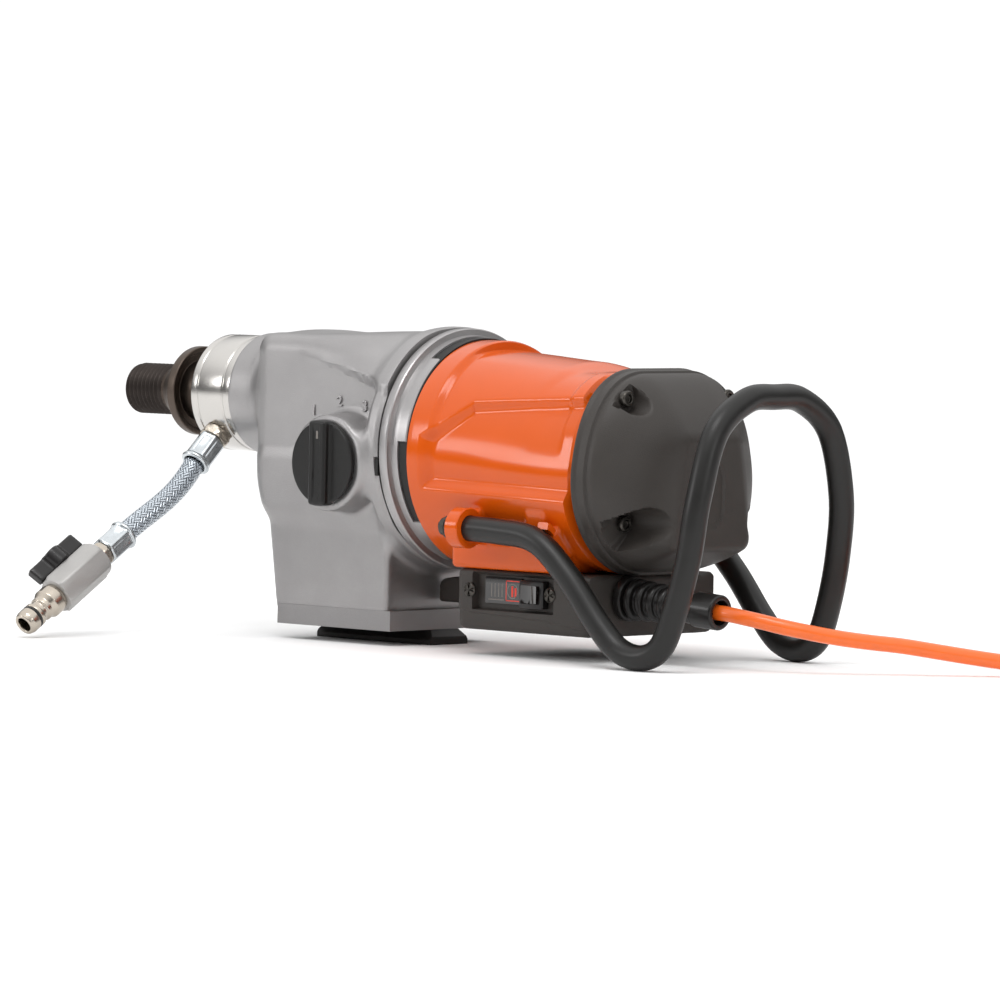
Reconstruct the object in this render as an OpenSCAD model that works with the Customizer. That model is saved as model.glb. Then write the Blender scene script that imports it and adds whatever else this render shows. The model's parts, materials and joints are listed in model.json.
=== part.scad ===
// Three-speed core drill motor unit with a quick-mount wedge plate.
// Frame: +X is the drilling direction, +Y the side with the gear knob, +Z up,
// the origin is the middle of the wedge plate's underside. Millimetres.

/* [Spindle] */
// Height of the spindle axis above the floor
spindle_z = 145.9; // [140:0.1:155]
// Major diameter of the spindle thread
thread_d = 31.75; // [28:0.25:34]
// Distance from the base's centre to the front end of the spindle
spindle_end = 218.7; // [205:0.1:240]
// Length of the spindle thread
thread_len = 31.7; // [25:0.1:36]
// Diameter of the spindle's stop flange
stop_d = 55.4; // [50:0.2:64]
// Diameter of the spindle inside the front bearings
spindle_d = 30; // [26:0.5:34]
// Diameter of the water bore in the spindle
water_bore_d = 11; // [8:0.5:14]

/* [Water collar] */
// Outer diameter of the water collar
collar_d = 71.8; // [68:0.2:74]
// Length of the water collar in front of the casing
collar_len = 34.8; // [30:0.2:40]
// Place of the water port along the drilling axis
port_x = 124; // [120:0.5:128]
// Direction of the water port, below the horizontal
port_angle = -44; // [-60:1:-30]

/* [Gear casing] */
// Height of the motor axis above the floor
motor_z = 118.5; // [116:0.1:121]
// Front face of the casing
casing_front = 71; // [70:0.5:76]
// Half width of the casing block
casing_half = 53; // [53:0.5:60]
// Top face of the casing
casing_top = 187.5; // [186:0.5:200]
// Diameter of the round boss that carries the spindle bearings
boss_d = 75.4; // [74:0.2:84]
// Front edge of the round boss
boss_front = 103.9; // [102:0.1:110]
// Rear face of the casing, where the motor flange bolts on
seam_x = -59; // [-64:0.5:-57]
// Diameter of the casing at the motor flange
seam_d = 145; // [144:0.5:160]
// Half width of the pedestal at its foot
pedestal_half = 47.2; // [45:0.1:52]
// Front of the pedestal at its foot
pedestal_front = 51; // [50:0.5:56]
// Rear of the pedestal
pedestal_rear = -44; // [-50:0.5:-42]

/* [Base] */
// Thickness of the wedge plate
wedge_h = 9.1; // [8:0.1:12]
// Half width of the wedge plate at its top
wedge_half = 16.3; // [14:0.1:20]
// Length of the wedge plate
wedge_len = 96; // [90:1:110]
// Thickness of the spacer plate
spacer_h = 12.1; // [11:0.1:16]
// Half length of the spacer plate
spacer_half = 47.5; // [46:0.1:52]

/* [Motor] */
// Outer diameter of the motor housing at its front
housing_front_d = 137; // [134:0.5:142]
// Length of the motor housing along its axis
housing_len = 133.1; // [125:0.1:145]
// Inner diameter of the motor housing
housing_bore = 108; // [106:0.5:112]
// Length of the rear cap
cap_len = 50; // [46:0.5:58]
// Outer diameter of the armature core
armature_d = 65; // [58:0.5:68]
// Length of the armature core
armature_len = 62; // [50:1:70]
// Radial air gap between armature and stator
air_gap = 0.8; // [0.6:0.1:1.2]

/* [Gears] */
// Module of the three speed gear pairs
speed_module = 2; // [1.9:0.02:2.04]
// Teeth of a spindle gear and its idle gear together
speed_teeth_sum = 49; // [48:1:50]
// Width of one speed gear
gear_w = 7.4; // [6:0.1:8]
// Distance from one speed gear to the next
gear_pitch = 9; // [9:0.1:10]
// Diameter of the countershaft
counter_d = 14; // [13:0.5:15]
// Radial clearance of a piece that turns on a shaft
run_gap = 0.05; // [0.03:0.01:0.08]

/* [Gear knob] */
// Place of the knob along the drilling axis
knob_x = -19; // [-21:0.5:-17]
// Height of the knob's axis
knob_z = 109.5; // [108:0.5:111]
// Diameter of the knob
knob_d = 50; // [44:0.5:54]
// Height of the knob above the casing boss
knob_h = 23; // [18:0.5:28]
// Knob turn from the middle speed to the first or the third
knob_turn = 45; // [45:1:45]

/* [Handle] */
// Diameter of the handle tube
tube_d = 15; // [13:0.5:16]

/* [Switch box] */
// Half width of the switch box
box_half = 57; // [55:0.5:60]
// Underside of the switch box
box_bottom = 15; // [12:0.5:18]
// Rear end of the switch box
box_rear = -216; // [-220:0.5:-212]

/* [Cord and hose] */
// Diameter of the power cord
cord_d = 9; // [8:0.1:10]
// Diameter of the braided hose
hose_d = 14; // [12:0.5:15]
// Width across flats of the ball valve body
valve_flats = 22; // [20:0.5:26]
// Length of the ball valve body
valve_len = 40; // [36:0.5:46]

/* [Hidden] */
$fn = 72;
hull_fn = 32;
slide_gap = 0.3;
face_gap = 0.5;

// Spindle and collar
thread_r = thread_d / 2;
spindle_r = spindle_d / 2;
stop_r = stop_d / 2;
thread_start = spindle_end - thread_len;
cone_front = thread_start - 4;
stop_front = thread_start - 19;
stop_rear = stop_front - 6.8;
collar_front = boss_front + collar_len;
chamber_r = spindle_r + 7;
collar_spigot = 7;
seal_w = 6;
seal_front = collar_front - 4 - seal_w;
seal_rear = boss_front + 2;

// Gear train
pinion_teeth = 8;
wheel_teeth = 40;
spindle_teeth = [33, 28, 23];
idle_teeth = [for (t = spindle_teeth) speed_teeth_sum - t];
counter_z = spindle_z - speed_module * speed_teeth_sum / 2;
motor_centres = motor_z - counter_z;
motor_module = 2 * motor_centres / (pinion_teeth + wheel_teeth);
middle_gear_x = -2;
gear_x = [for (i = [1, 0, -1]) middle_gear_x + i * gear_pitch];
counter_r = counter_d / 2;
pinion_x0 = seam_x + 7;
pinion_x1 = pinion_x0 + 12;
plate_x1 = -29;
plate_x0 = -38;
plate_r = 48;
counter_front = 50;
counter_seat = 8;
shaft_bore_r = 3.5;

// Selector
knob_stroke = gear_pitch;
crank_r = knob_stroke / sin(knob_turn);
selector_x = 25;
pin_x = selector_x + 2.6;
shift_w = 9;
groove_w = 4;
groove_r = 10;
rail_y = 40;
rail_z = 80;
rail_r = 4;
stem_r = 8;
boss_face = casing_half + 8;
channel_y = casing_half - 4;

// Bearings: place along X, width, inner and outer radius
main_bearings = [62, 82];
main_bearing_w = 13;
main_bearing_r = spindle_r + 12.5;
rear_bearing_r = 15;
spindle_tail_r = 7.5;
rotor_r = 7.5;
rotor_bearing_r = 13;
counter_tail_r = 4;
counter_bearing_r = 7.4;

// Base
spacer_z = wedge_h;
pedestal_z = wedge_h + spacer_h;
bolt_at = 33;

// Motor
flange_x = seam_x - 18.5;
joint_x = flange_x - housing_len;
cap_x = joint_x - cap_len;
housing_z = motor_z - 2.5;
armature_r = armature_d / 2;
stator_r = housing_bore / 2 - 0.2;
stator_in = armature_r + air_gap;
core_x = -137;
screw_y = 44.1;
screw_z = 36.3;
screw_x = joint_x - 22.4;
skirt_x0 = -192;
skirt_x1 = -105;
skirt_z = 51;

// Switch box
box_front = -110;
box_top = skirt_z;
wall = 2.5;
recess_x0 = -181.5;
recess_x1 = -130.5;
recess_z0 = 29;
recess_z1 = 47.5;
rocker_x = -171.5;
rocker_z = 38;
rocker_y = box_half - 0.5;
panel_screw_x = [-122, -186];
panel_screw_z = 38.7;

// Handle: points on one side, from the front clip to the middle of the grip
tube_r = tube_d / 2;
handle_side = [[-122, 74, 76], [-160, 74, 75], [-190, 74, 71], [-214, 73, 52], [-237, 72, 26],
  [-253, 71, 11.5], [-270, 70, tube_r + 0.1], [-284, 69, 14.5], [-293, 68, 35], [-301, 66, 66],
  [-305, 63, 100], [-306, 50, 138], [-306, 24, 156], [-306, 0, 158]];

// Cord: route points chosen by hand, coil place and turns
gland_start = [-217, 24, 38];
gland_end = [-288, 22, 33];
cord_r = cord_d / 2;
cord_points = [[-280, 22.2, 33.5], [-288, 22, 33], [-296, 21.5, 32.3], [-305, 20, 31],
  [-315, 17, 29.3], [-326, 11.5, 26.8], [-338, 2.5, 24], [-350, -9, 21.2], [-362, -22, 19],
  [-375, -37, 17], [-388, -51, 14.2], [-400, -64, 11.6], [-412, -77, 9.2], [-425, -91, 7.2],
  [-438, -104.5, 5.7], [-450, -117, 4.9], [-462, -129, 4.6]];
coil_centre = [-425, -187.5];
coil_columns = 4;
coil_layers = 3;
coil_mean_r = 54;
coil_half = coil_columns * cord_r;
coil_h = coil_layers * cord_d;
tail_points = [[20.3, -35.1, 23.5], [31.4, -26.4, 26], [38.8, -14.1, 29], [41.8, 0, 32],
  [39.9, 14.5, 34.5], [32.6, 27.4, 36.5], [21.8, 37.7, 38], [11.6, 43.3, 38.8], [2, 45, 39]];
plug_y = 45;
plug_z = coil_h + 12;

// Water line
nut_r0 = collar_d / 2 - 0.4;
nut_h = 6.4;
ferrule_len = 21;
hose_start_r = nut_r0 + nut_h + ferrule_len;
line_angle = -32.7;
line_start = [103, 61];
hose_r = hose_d / 2;
valve_at = ferrule_len + nut_h;
lever_turn = -45;

// ---- helpers ----

// Cylinder along X
module rod(x0, x1, r, z, y = 0) {
  translate([x0, y, z]) rotate([0, 90, 0]) cylinder(h = x1 - x0, r = r);
}

// Tube along X
module tube(x0, x1, r, bore, z, y = 0) {
  difference() {
    rod(x0, x1, r, z, y);
    rod(x0 - 1, x1 + 1, bore, z, y);
  }
}

// Body turned about an axis along X, from [radius, x] points
module turned(points, z) {
  translate([0, 0, z]) rotate([0, 90, 0]) rotate_extrude() polygon(points);
}

// Box from its lowest to its highest corner
module block(a, b) {
  translate(a) cube(b - a);
}

// Places a child whose own axis is Z along the line from a to b
module toward(a, b) {
  d = b - a;
  translate(a) rotate([0, acos(d[2] / norm(d)), atan2(d[1], d[0])]) children();
}

// Outline of a gear with straight flanks, a tooth centred on the +X direction
function gear_outline(teeth, m, turn = 0) =
  let (r = teeth * m / 2, pitch = 360 / teeth,
       flank = [[r - 1.15 * m, 0.36], [r - 0.1 * m, 0.215], [r + 0.85 * m, 0.10]])
  [for (i = [0 : teeth - 1], k = [0 : 5])
    let (f = flank[k < 3 ? k : 5 - k], s = k < 3 ? -1 : 1, a = i * pitch + s * f[1] * pitch + turn)
    f[0] * [cos(a), sin(a)]];

module gear(x0, x1, teeth, m, z, turn = 0) {
  translate([x0, 0, z]) rotate([0, 90, 0]) linear_extrude(x1 - x0)
    polygon(gear_outline(teeth, m, turn));
}

function unit(v) = v / norm(v);

// Direction of a path at point i, from its two neighbours
function heading(p, i) = unit(p[min(i + 1, len(p) - 1)] - p[max(i - 1, 0)]);

// Normals carried along the path without twist
function carried(p, i, n) = i == len(p) ? [] :
  let (t = heading(p, i), m = unit(n - (n * t) * t)) concat([m], carried(p, i + 1, m));

// Round tube swept along a path
module swept(p, r, sides, start) {
  n = carried(p, 0, start);
  points = [for (i = [0 : len(p) - 1], k = [0 : sides - 1])
    let (t = heading(p, i), b = cross(t, n[i]), a = 360 * k / sides)
    p[i] + r * (cos(a) * n[i] + sin(a) * b)];
  last = (len(p) - 1) * sides;
  faces = concat([[for (k = [0 : sides - 1]) k]],
    [for (i = [0 : len(p) - 2], k = [0 : sides - 1])
      let (a = i * sides, b = a + sides, j = (k + 1) % sides) [a + j, a + k, b + k, b + j]],
    [[for (k = [sides - 1 : -1 : 0]) last + k]]);
  polyhedron(points, faces);
}

// Smooth curve through points (Catmull-Rom)
function smooth_at(a, b, c, d, t) = 0.5 * ((2 * b) + (c - a) * t + (2 * a - 5 * b + 4 * c - d) * t * t
  + (3 * b - a - 3 * c + d) * t * t * t);
function smooth(p, steps) = concat([for (i = [0 : len(p) - 2], s = [0 : steps - 1])
  smooth_at(p[max(i - 1, 0)], p[i], p[i + 1], p[min(i + 2, len(p) - 1)], s / steps)], [p[len(p) - 1]]);

// Cubic Bezier curve with its two handles
function bezier(a, b, c, d, t) = pow(1 - t, 3) * a + 3 * t * pow(1 - t, 2) * b
  + 3 * t * t * (1 - t) * c + pow(t, 3) * d;

// Frame of the water port: local Z points out of the collar
module port() {
  translate([port_x, 0, spindle_z]) rotate([port_angle - 90, 0, 0]) children();
}

// Frame of the straight water line: local Z points to the free end
module line() {
  translate([port_x, line_start[0], line_start[1]]) rotate([line_angle - 90, 0, 0]) children();
}

module hexagon(flats, h) {
  cylinder(h = h, r = flats / 2 / cos(30), $fn = 6);
}

// Rounded section of the motor housing and rear cap, at x, shrunk by s
module shell_section(x, s = 0) {
  for (side = [-1, 1]) {
    rod(x, x + 1, 57 - s, 108, side * 14, $fn = hull_fn);
    rod(x, x + 1, 46 - s, 125, side * 20, $fn = hull_fn);
  }
  rod(x, x + 1, 46 - s, 128.5, $fn = hull_fn);
}

// ---- base ----

module wedge_plate() color("#1d1c1b") {
  foot = 3;
  difference() {
    translate([-4, 0, 0]) rotate([90, 0, 90]) translate([0, 0, -wedge_len / 2])
      linear_extrude(wedge_len)
        polygon([[-wedge_half, 0], [wedge_half, 0], [wedge_half, foot], [wedge_half - 4, wedge_h],
                 [4 - wedge_half, wedge_h], [-wedge_half, foot]]);
    for (s = [-1, 1]) translate([-4 + s * wedge_len / 2, 0, wedge_h]) rotate([0, s * 45, 0])
      cube([6, 2 * wedge_half + 2, 6], center = true);
    wedge_bolt_shapes();
  }
}

module wedge_bolt_shapes() {
  for (x = [-34, -4, 26]) translate([x, 0, 0]) {
    translate([0, 0, 0.6]) cylinder(h = 3.4, r1 = 6.4, r2 = 3);
    translate([0, 0, 0.6]) cylinder(h = wedge_h + 9, r = 3);
  }
}

module spacer_bolt_shapes() {
  for (x = [-bolt_at, bolt_at], y = [-bolt_at, bolt_at]) translate([x, y, spacer_z + 0.8]) {
    cylinder(h = 6.5, r = 6.4);
    cylinder(h = spacer_h + 15, r = 4);
  }
}

module base_bolts() color("#2b2b2b") {
  difference() {
    spacer_bolt_shapes();
    for (x = [-bolt_at, bolt_at], y = [-bolt_at, bolt_at]) translate([x, y, spacer_z - 0.2])
      cylinder(h = 4, r = 3.6, $fn = 6);
  }
  difference() {
    wedge_bolt_shapes();
    for (x = [-34, -4, 26]) translate([x, 0, 0]) cylinder(h = 3, r = 2.3, $fn = 6);
  }
}

module spacer_plate() color("#8f8b86") difference() {
  block([-spacer_half, -pedestal_half, spacer_z], [spacer_half, pedestal_half, pedestal_z]);
  wedge_bolt_shapes();
  spacer_bolt_shapes();
  for (x = [-bolt_at, bolt_at], y = [-bolt_at, bolt_at]) translate([x, y, spacer_z - 1])
    cylinder(h = 2, r = 6.4);
}

// ---- gear casing ----

// Block seen from the side: level top, straight front, slant down to the pedestal
module casing_side() {
  translate([0, casing_half + 1, 0]) rotate([90, 0, 0]) linear_extrude(2 * casing_half + 2)
    polygon([[-30, 70], [pedestal_front + 6, 78], [casing_front, 100], [casing_front, casing_top - 6],
             [casing_front - 8, casing_top], [-30, casing_top]]);
}

// Block seen from above, with round front corners
module casing_plan() {
  corner = 17;
  translate([0, 0, 60]) linear_extrude(casing_top - 59) union() {
    translate([-31, -casing_half]) square([casing_front + 31 - corner, 2 * casing_half]);
    translate([-31, corner - casing_half]) square([casing_front + 31, 2 * (casing_half - corner)]);
    for (s = [-1, 1]) translate([casing_front - corner, s * (casing_half - corner)]) circle(corner);
  }
}

// Block seen from the front, with round top edges
module casing_section() {
  corner = 16;
  translate([-32, 0, 0]) rotate([90, 0, 90]) linear_extrude(casing_front + 40) union() {
    translate([-casing_half, 60]) square([2 * casing_half, casing_top - 60 - corner]);
    translate([corner - casing_half, 60]) square([2 * (casing_half - corner), casing_top - 60]);
    for (s = [-1, 1]) translate([s * (casing_half - corner), casing_top - corner]) circle(corner);
  }
}

module casing_outside() {
  intersection() {
    casing_side();
    casing_plan();
    casing_section();
  }
  // Flare from the block out to the round motor flange
  hull() {
    rod(seam_x, seam_x + 7, seam_d / 2, motor_z, $fn = 64);
    for (s = [-1, 1]) {
      rod(-27, -24, 16, casing_top - 16, s * (casing_half - 16), $fn = hull_fn);
      rod(-27, -24, 8, 72, s * (casing_half - 8), $fn = hull_fn);
    }
  }
  // Pedestal with draft
  hull() {
    block([pedestal_rear, -pedestal_half, pedestal_z], [pedestal_front, pedestal_half, pedestal_z + 1]);
    block([pedestal_rear - 2, -pedestal_half - 2, 80], [pedestal_front + 6, pedestal_half + 2, 82]);
  }
  rod(casing_front - 12, boss_front, boss_d / 2, spindle_z);
  // Knob boss with a bevelled rim
  translate([knob_x, casing_half - 14, knob_z]) rotate([-90, 0, 0]) {
    cylinder(h = boss_face - casing_half + 12, r = 29);
    translate([0, 0, boss_face - casing_half + 12]) cylinder(h = 2, r1 = 29, r2 = 27);
  }
}

module casing_inside() {
  rod(seam_x - 1, plate_x1, plate_r, motor_z);
  rod(plate_x1 - 1, middle_gear_x + gear_pitch + gear_w / 2 + 6, 38, spindle_z);
  rod(plate_x1 - 1, middle_gear_x + gear_pitch + gear_w / 2 + 6, 30, counter_z);
  rod(0, counter_front - counter_seat, 19, counter_z);
  rod(0, main_bearings[0] - 2, 24, spindle_z);
  // Oil sump and the side channel of the selector
  block([plate_x1 + 1, -38, pedestal_z + 16], [42, 38, counter_z - 10]);
  block([plate_x0, 20, rail_z - 9], [42, channel_y, knob_z + 25]);
  block([selector_x - gear_pitch - 4, 0, rail_z - 9], [42, 30, counter_z + 15]);
  // Room for the knob beside the flare
  translate([knob_x, boss_face, knob_z]) rotate([-90, 0, 0]) cylinder(h = 30, r = knob_d / 2 + 2);
  // Bearing seats
  rod(main_bearings[0], boss_front + 1, main_bearing_r, spindle_z);
  rod(main_bearings[0] - 3, main_bearings[0] + 1, spindle_r + 5, spindle_z);
  rod(counter_front - counter_seat - 1, counter_front, counter_bearing_r, counter_z);
  rod(plate_x0 - 6, 48, rail_r, rail_z, rail_y);
  translate([knob_x, channel_y - 1, knob_z]) rotate([-90, 0, 0]) cylinder(h = 30, r = stem_r + run_gap);
  flange_bolt_shapes();
  spacer_bolt_shapes();
}

module gear_housing() color("#9a9794") difference() {
  casing_outside();
  casing_inside();
}

module bearing_plate() color("#86837f") difference() {
  rod(plate_x0, plate_x1, plate_r - run_gap, motor_z);
  rod(plate_x0 - 1, plate_x1 + 1, rear_bearing_r, spindle_z);
  rod(plate_x0 - 1, plate_x1 + 1, counter_r + 2, counter_z);
  block([plate_x0 - 1, 28, rail_z - 10], [plate_x1 + 1, plate_r, knob_z + 25]);
}

module motor_flange() color("#b9b6b2") difference() {
  union() {
    turned([[0, seam_x], [seam_d / 2, seam_x], [seam_d / 2, seam_x - 7], [68, flange_x],
            [62, flange_x], [62, seam_x - 9], [0, seam_x - 9]], motor_z);
    rod(seam_x - 13, seam_x - 8, 18, motor_z);
  }
  rod(seam_x - 14, seam_x - 3, rotor_bearing_r, motor_z);
  rod(seam_x - 4, seam_x + 1, rotor_r + 1.5, motor_z);
  rod(seam_x - 7, seam_x + 1, counter_bearing_r, counter_z);
  // Air outlets in the rear edge of the ring
  for (a = [20 : 32 : 340]) translate([flange_x - 1, 0, motor_z]) rotate([a, 0, 0])
    block([0, -12, 55], [6.5, 12, 80]);
  flange_bolt_shapes();
}

module flange_bolt_shapes() {
  for (a = [35, 145, 215, 325]) translate([0, 0, motor_z]) rotate([a, 0, 0]) {
    rod(seam_x - 15, seam_x - 9, 4.5, 0, 56.5);
    rod(seam_x - 10, seam_x + 10, 2.6, 0, 56.5);
  }
}

module flange_bolts() color("#35332f") flange_bolt_shapes();

module water_collar() color("#d8d6d2") difference() {
  turned([[chamber_r, boss_front - collar_spigot], [main_bearing_r - run_gap, boss_front - collar_spigot],
          [main_bearing_r - run_gap, boss_front], [collar_d / 2, boss_front],
          [collar_d / 2, collar_front - 0.8], [collar_d / 2 - 0.8, collar_front],
          [spindle_r + 2, collar_front], [spindle_r + 2, collar_front - 4],
          [chamber_r, collar_front - 4]], spindle_z);
  port() {
    cylinder(h = collar_d, r = 6.5);
    translate([0, 0, nut_r0]) cylinder(h = 10, r = 10.2);
  }
}

module shaft_seals() color("#22201f") {
  for (x = [seal_rear, seal_front]) tube(x, x + seal_w, chamber_r, spindle_r + 0.2, spindle_z);
}

// ---- spindle and gears ----

module spindle() color("#57524d") difference() {
  turned([[0, plate_x0 + 1], [spindle_tail_r, plate_x0 + 1], [spindle_tail_r, plate_x1 + 0.5],
          [12, plate_x1 + 0.5], [12, 16], [spindle_r, 16], [spindle_r, collar_front + 1],
          [spindle_r + 4, collar_front + 1], [spindle_r + 4, stop_rear + 4], [stop_r - 3.5, stop_rear + 4],
          [stop_r - 3.5, stop_rear], [stop_r, stop_rear], [stop_r, stop_front],
          [22, stop_front + 6], [thread_r + 0.3, cone_front], [thread_r - 1.6, cone_front],
          [thread_r - 1.6, thread_start], [thread_r, thread_start], [thread_r, spindle_end - 2.2],
          [thread_r - 2.4, spindle_end], [0, spindle_end]], spindle_z);
  rod(port_x - 6, spindle_end + 1, water_bore_d / 2, spindle_z);
  translate([port_x - 1, 0, spindle_z]) {
    cylinder(h = spindle_d + 2, r = 3, center = true);
    rotate([90, 0, 0]) cylinder(h = spindle_d + 2, r = 3, center = true);
  }
}

module spindle_gears() color("#8b8680") {
  for (i = [0 : 2]) difference() {
    gear(gear_x[i] - gear_w / 2, gear_x[i] + gear_w / 2, spindle_teeth[i], speed_module, spindle_z);
    rod(gear_x[i] - gear_w, gear_x[i] + gear_w, 12, spindle_z);
  }
}

module idle_gear(i) color("#8b8680") difference() {
  gear(gear_x[i] - gear_w / 2, gear_x[i] + gear_w / 2, idle_teeth[i], speed_module, counter_z,
       180 + 180 / idle_teeth[i]);
  rod(gear_x[i] - gear_w, gear_x[i] + gear_w, counter_r + run_gap, counter_z);
}

module idle_gear_1() idle_gear(0);
module idle_gear_2() idle_gear(1);
module idle_gear_3() idle_gear(2);

module countershaft() color("#7d7872") difference() {
  union() {
    rod(seam_x - 6, pinion_x0 + 1, counter_tail_r, counter_z);
    gear(pinion_x0 + 1, pinion_x1 - 1, wheel_teeth, motor_module, counter_z, 180 + 180 / wheel_teeth);
    rod(pinion_x1 - 1, counter_front - counter_seat - 1, counter_r, counter_z);
    rod(counter_front - counter_seat - 1, counter_front - 0.5, counter_tail_r, counter_z);
  }
  rod(middle_gear_x - gear_pitch - 6, counter_front - counter_seat - 2, shaft_bore_r, counter_z);
  block([middle_gear_x - gear_pitch - 4, -counter_r - 1, counter_z - 1.6],
        [middle_gear_x + gear_pitch + 4, counter_r + 1, counter_z + 1.6]);
  block([pin_x - gear_pitch - 1.8, -counter_r - 1, counter_z - 1.6],
        [pin_x + gear_pitch + 1.8, counter_r + 1, counter_z + 1.6]);
}

module draw_key() color("#c2b280") {
  rod(middle_gear_x - 3.2, pin_x + 2, shaft_bore_r - 0.08, counter_z);
  block([middle_gear_x - 3.2, 0.1 - counter_r, counter_z - 1.4],
        [middle_gear_x + 3.2, counter_r - 0.1, counter_z + 1.4]);
  translate([pin_x, 0, counter_z]) rotate([90, 0, 0])
    cylinder(h = 2 * groove_r - 0.4, r = 1.4, center = true);
}

module shift_collar() color("#8b8680") difference() {
  turned([[counter_r + 0.08, selector_x - shift_w / 2], [14, selector_x - shift_w / 2],
          [14, selector_x - groove_w / 2], [groove_r, selector_x - groove_w / 2],
          [groove_r, selector_x + groove_w / 2], [14, selector_x + groove_w / 2],
          [14, selector_x + shift_w / 2], [counter_r + 0.08, selector_x + shift_w / 2]], counter_z);
  translate([pin_x, 0, counter_z]) rotate([90, 0, 0]) cylinder(h = 30, r = 1.4, center = true);
}

module selector_rail() color("#a9a6a1") rod(plate_x0 - 6, 48, rail_r, rail_z, rail_y);

module shift_fork() color("#b08d57") difference() {
  fork_t = groove_w - 2 * slide_gap;
  union() {
    rod(knob_x - 3, selector_x + 3, rail_r + 3, rail_z, rail_y);
    block([knob_x - 8, rail_y - 4, rail_z], [knob_x + 8, rail_y, knob_z + crank_r + 7]);
    translate([selector_x - fork_t / 2, 0, 0]) rotate([90, 0, 90]) linear_extrude(fork_t)
      difference() {
        union() {
          translate([0, counter_z]) circle(17);
          polygon([[0, counter_z - 17], [0, counter_z + 12], [rail_y, rail_z + 6], [rail_y, rail_z - 6]]);
        }
        translate([0, counter_z]) circle(groove_r + slide_gap);
        translate([-20, counter_z - groove_r - slide_gap]) square([20, 2 * (groove_r + slide_gap)]);
      }
  }
  rod(knob_x - 10, selector_x + 10, rail_r + run_gap, rail_z, rail_y);
  block([knob_x - 3.5, rail_y - 5, knob_z + crank_r * cos(knob_turn) - 3.6],
        [knob_x + 3.5, rail_y + 1, knob_z + crank_r + 3.6]);
}

// Crank inside the casing whose pin moves the fork
module selector_crank() color("#8b8680") translate([knob_x, 0, knob_z]) rotate([-90, 0, 0]) {
  translate([0, 0, rail_y + 1.2]) linear_extrude(channel_y - rail_y - 2) union() {
    circle(9);
    translate([0, -crank_r]) circle(4.6);
    translate([-4.6, -crank_r]) square([9.2, crank_r]);
  }
  translate([0, -crank_r, rail_y - 4]) cylinder(h = 5.3, r = 3);
  translate([0, 0, channel_y - 1]) cylinder(h = boss_face - channel_y + 7, r = stem_r);
}

module gear_knob() color("#232120") translate([knob_x, boss_face, knob_z]) rotate([-90, 0, 0])
  difference() {
    union() {
      translate([0, 0, face_gap]) cylinder(h = knob_h - 12, r1 = knob_d / 2 + 0.6, r2 = knob_d / 2 - 1);
      intersection() {
        translate([-7.5, -knob_d / 2, 1]) cube([15, knob_d, knob_h - 1]);
        cylinder(h = knob_h, r = knob_d / 2 - 1);
      }
    }
    translate([0, 0, -1]) cylinder(h = 7, r = stem_r);
  }

module gear_bearings() color("#c9c7c3") {
  for (x = main_bearings) tube(x, x + main_bearing_w, main_bearing_r, spindle_r + run_gap, spindle_z);
  tube(plate_x0, plate_x1, rear_bearing_r, spindle_tail_r + run_gap, spindle_z);
  tube(seam_x - 7, seam_x - 1, counter_bearing_r, counter_tail_r + run_gap, counter_z);
  tube(counter_front - counter_seat + 0.5, counter_front, counter_bearing_r, counter_tail_r + run_gap,
       counter_z);
}

// ---- motor ----

module motor_housing() color("#e0622a") difference() {
  union() {
    hull() {
      rod(flange_x - 2, flange_x, housing_front_d / 2, housing_z, $fn = 64);
      shell_section(joint_x);
    }
    block([skirt_x0, -box_half - 0.5, skirt_z], [skirt_x1, box_half + 0.5, 88]);
    for (s = [-1, 1]) {
      rod(-137, -127, 12, 76, s * 74);
      block([-137, s * 66 - 14, 66], [-127, s * 66 + 14, 86]);
      block([-197, s * 62 - 8, 60], [-189, s * 62 + 8, 78]);
    }
  }
  rod(joint_x - 1, flange_x + 1, housing_bore / 2, motor_z);
  rod(flange_x - 6, flange_x + 1, 60, motor_z);
  block([joint_x - 1, -box_half - 2, skirt_z - 20], [box_front + 1, box_half + 2, skirt_z]);
  block([skirt_x0 + 4, 4 - box_half, skirt_z - 1], [skirt_x1 - 4, box_half - 4, 61]);
  for (s = [-1, 1]) block([-186, s * 62 - 3, 44], [-110, s * 62 + 3, 50]);
  handle_shape(tube_r);
  cap_screw_shapes();
}

module cap_outside() {
  hull() {
    shell_section(joint_x - 1, 0.4);
    translate([-17, 0, 0]) shell_section(joint_x, 1.5);
    translate([0, 0, 2]) for (y = [-10, 10]) rod(cap_x, cap_x + 2, 38, 112, y, $fn = hull_fn);
  }
}

module rear_cap() color("#3c3937") difference() {
  cap_outside();
  rod(cap_x + 16, joint_x + 1, housing_bore / 2 - 3, motor_z);
  rod(cap_x + 4, cap_x + 17, 34, motor_z);
  for (sy = [-1, 1], sz = [-1, 1]) rod(cap_x - 1, screw_x, 6.5, motor_z + sz * screw_z, sy * screw_y);
  cap_screw_shapes();
}

module cap_screw_shapes() {
  for (sy = [-1, 1], sz = [-1, 1]) {
    rod(screw_x - 4, screw_x, 4.6, motor_z + sz * screw_z, sy * screw_y);
    rod(screw_x - 1, joint_x + 22, 2.5, motor_z + sz * screw_z, sy * screw_y);
  }
}

module cap_screws() color("#8c8a86") difference() {
  cap_screw_shapes();
  for (sy = [-1, 1], sz = [-1, 1]) translate([screw_x - 5, sy * screw_y, motor_z + sz * screw_z])
    rotate([0, 90, 0]) cylinder(h = 3.5, r = 2.4, $fn = 6);
}

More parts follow.
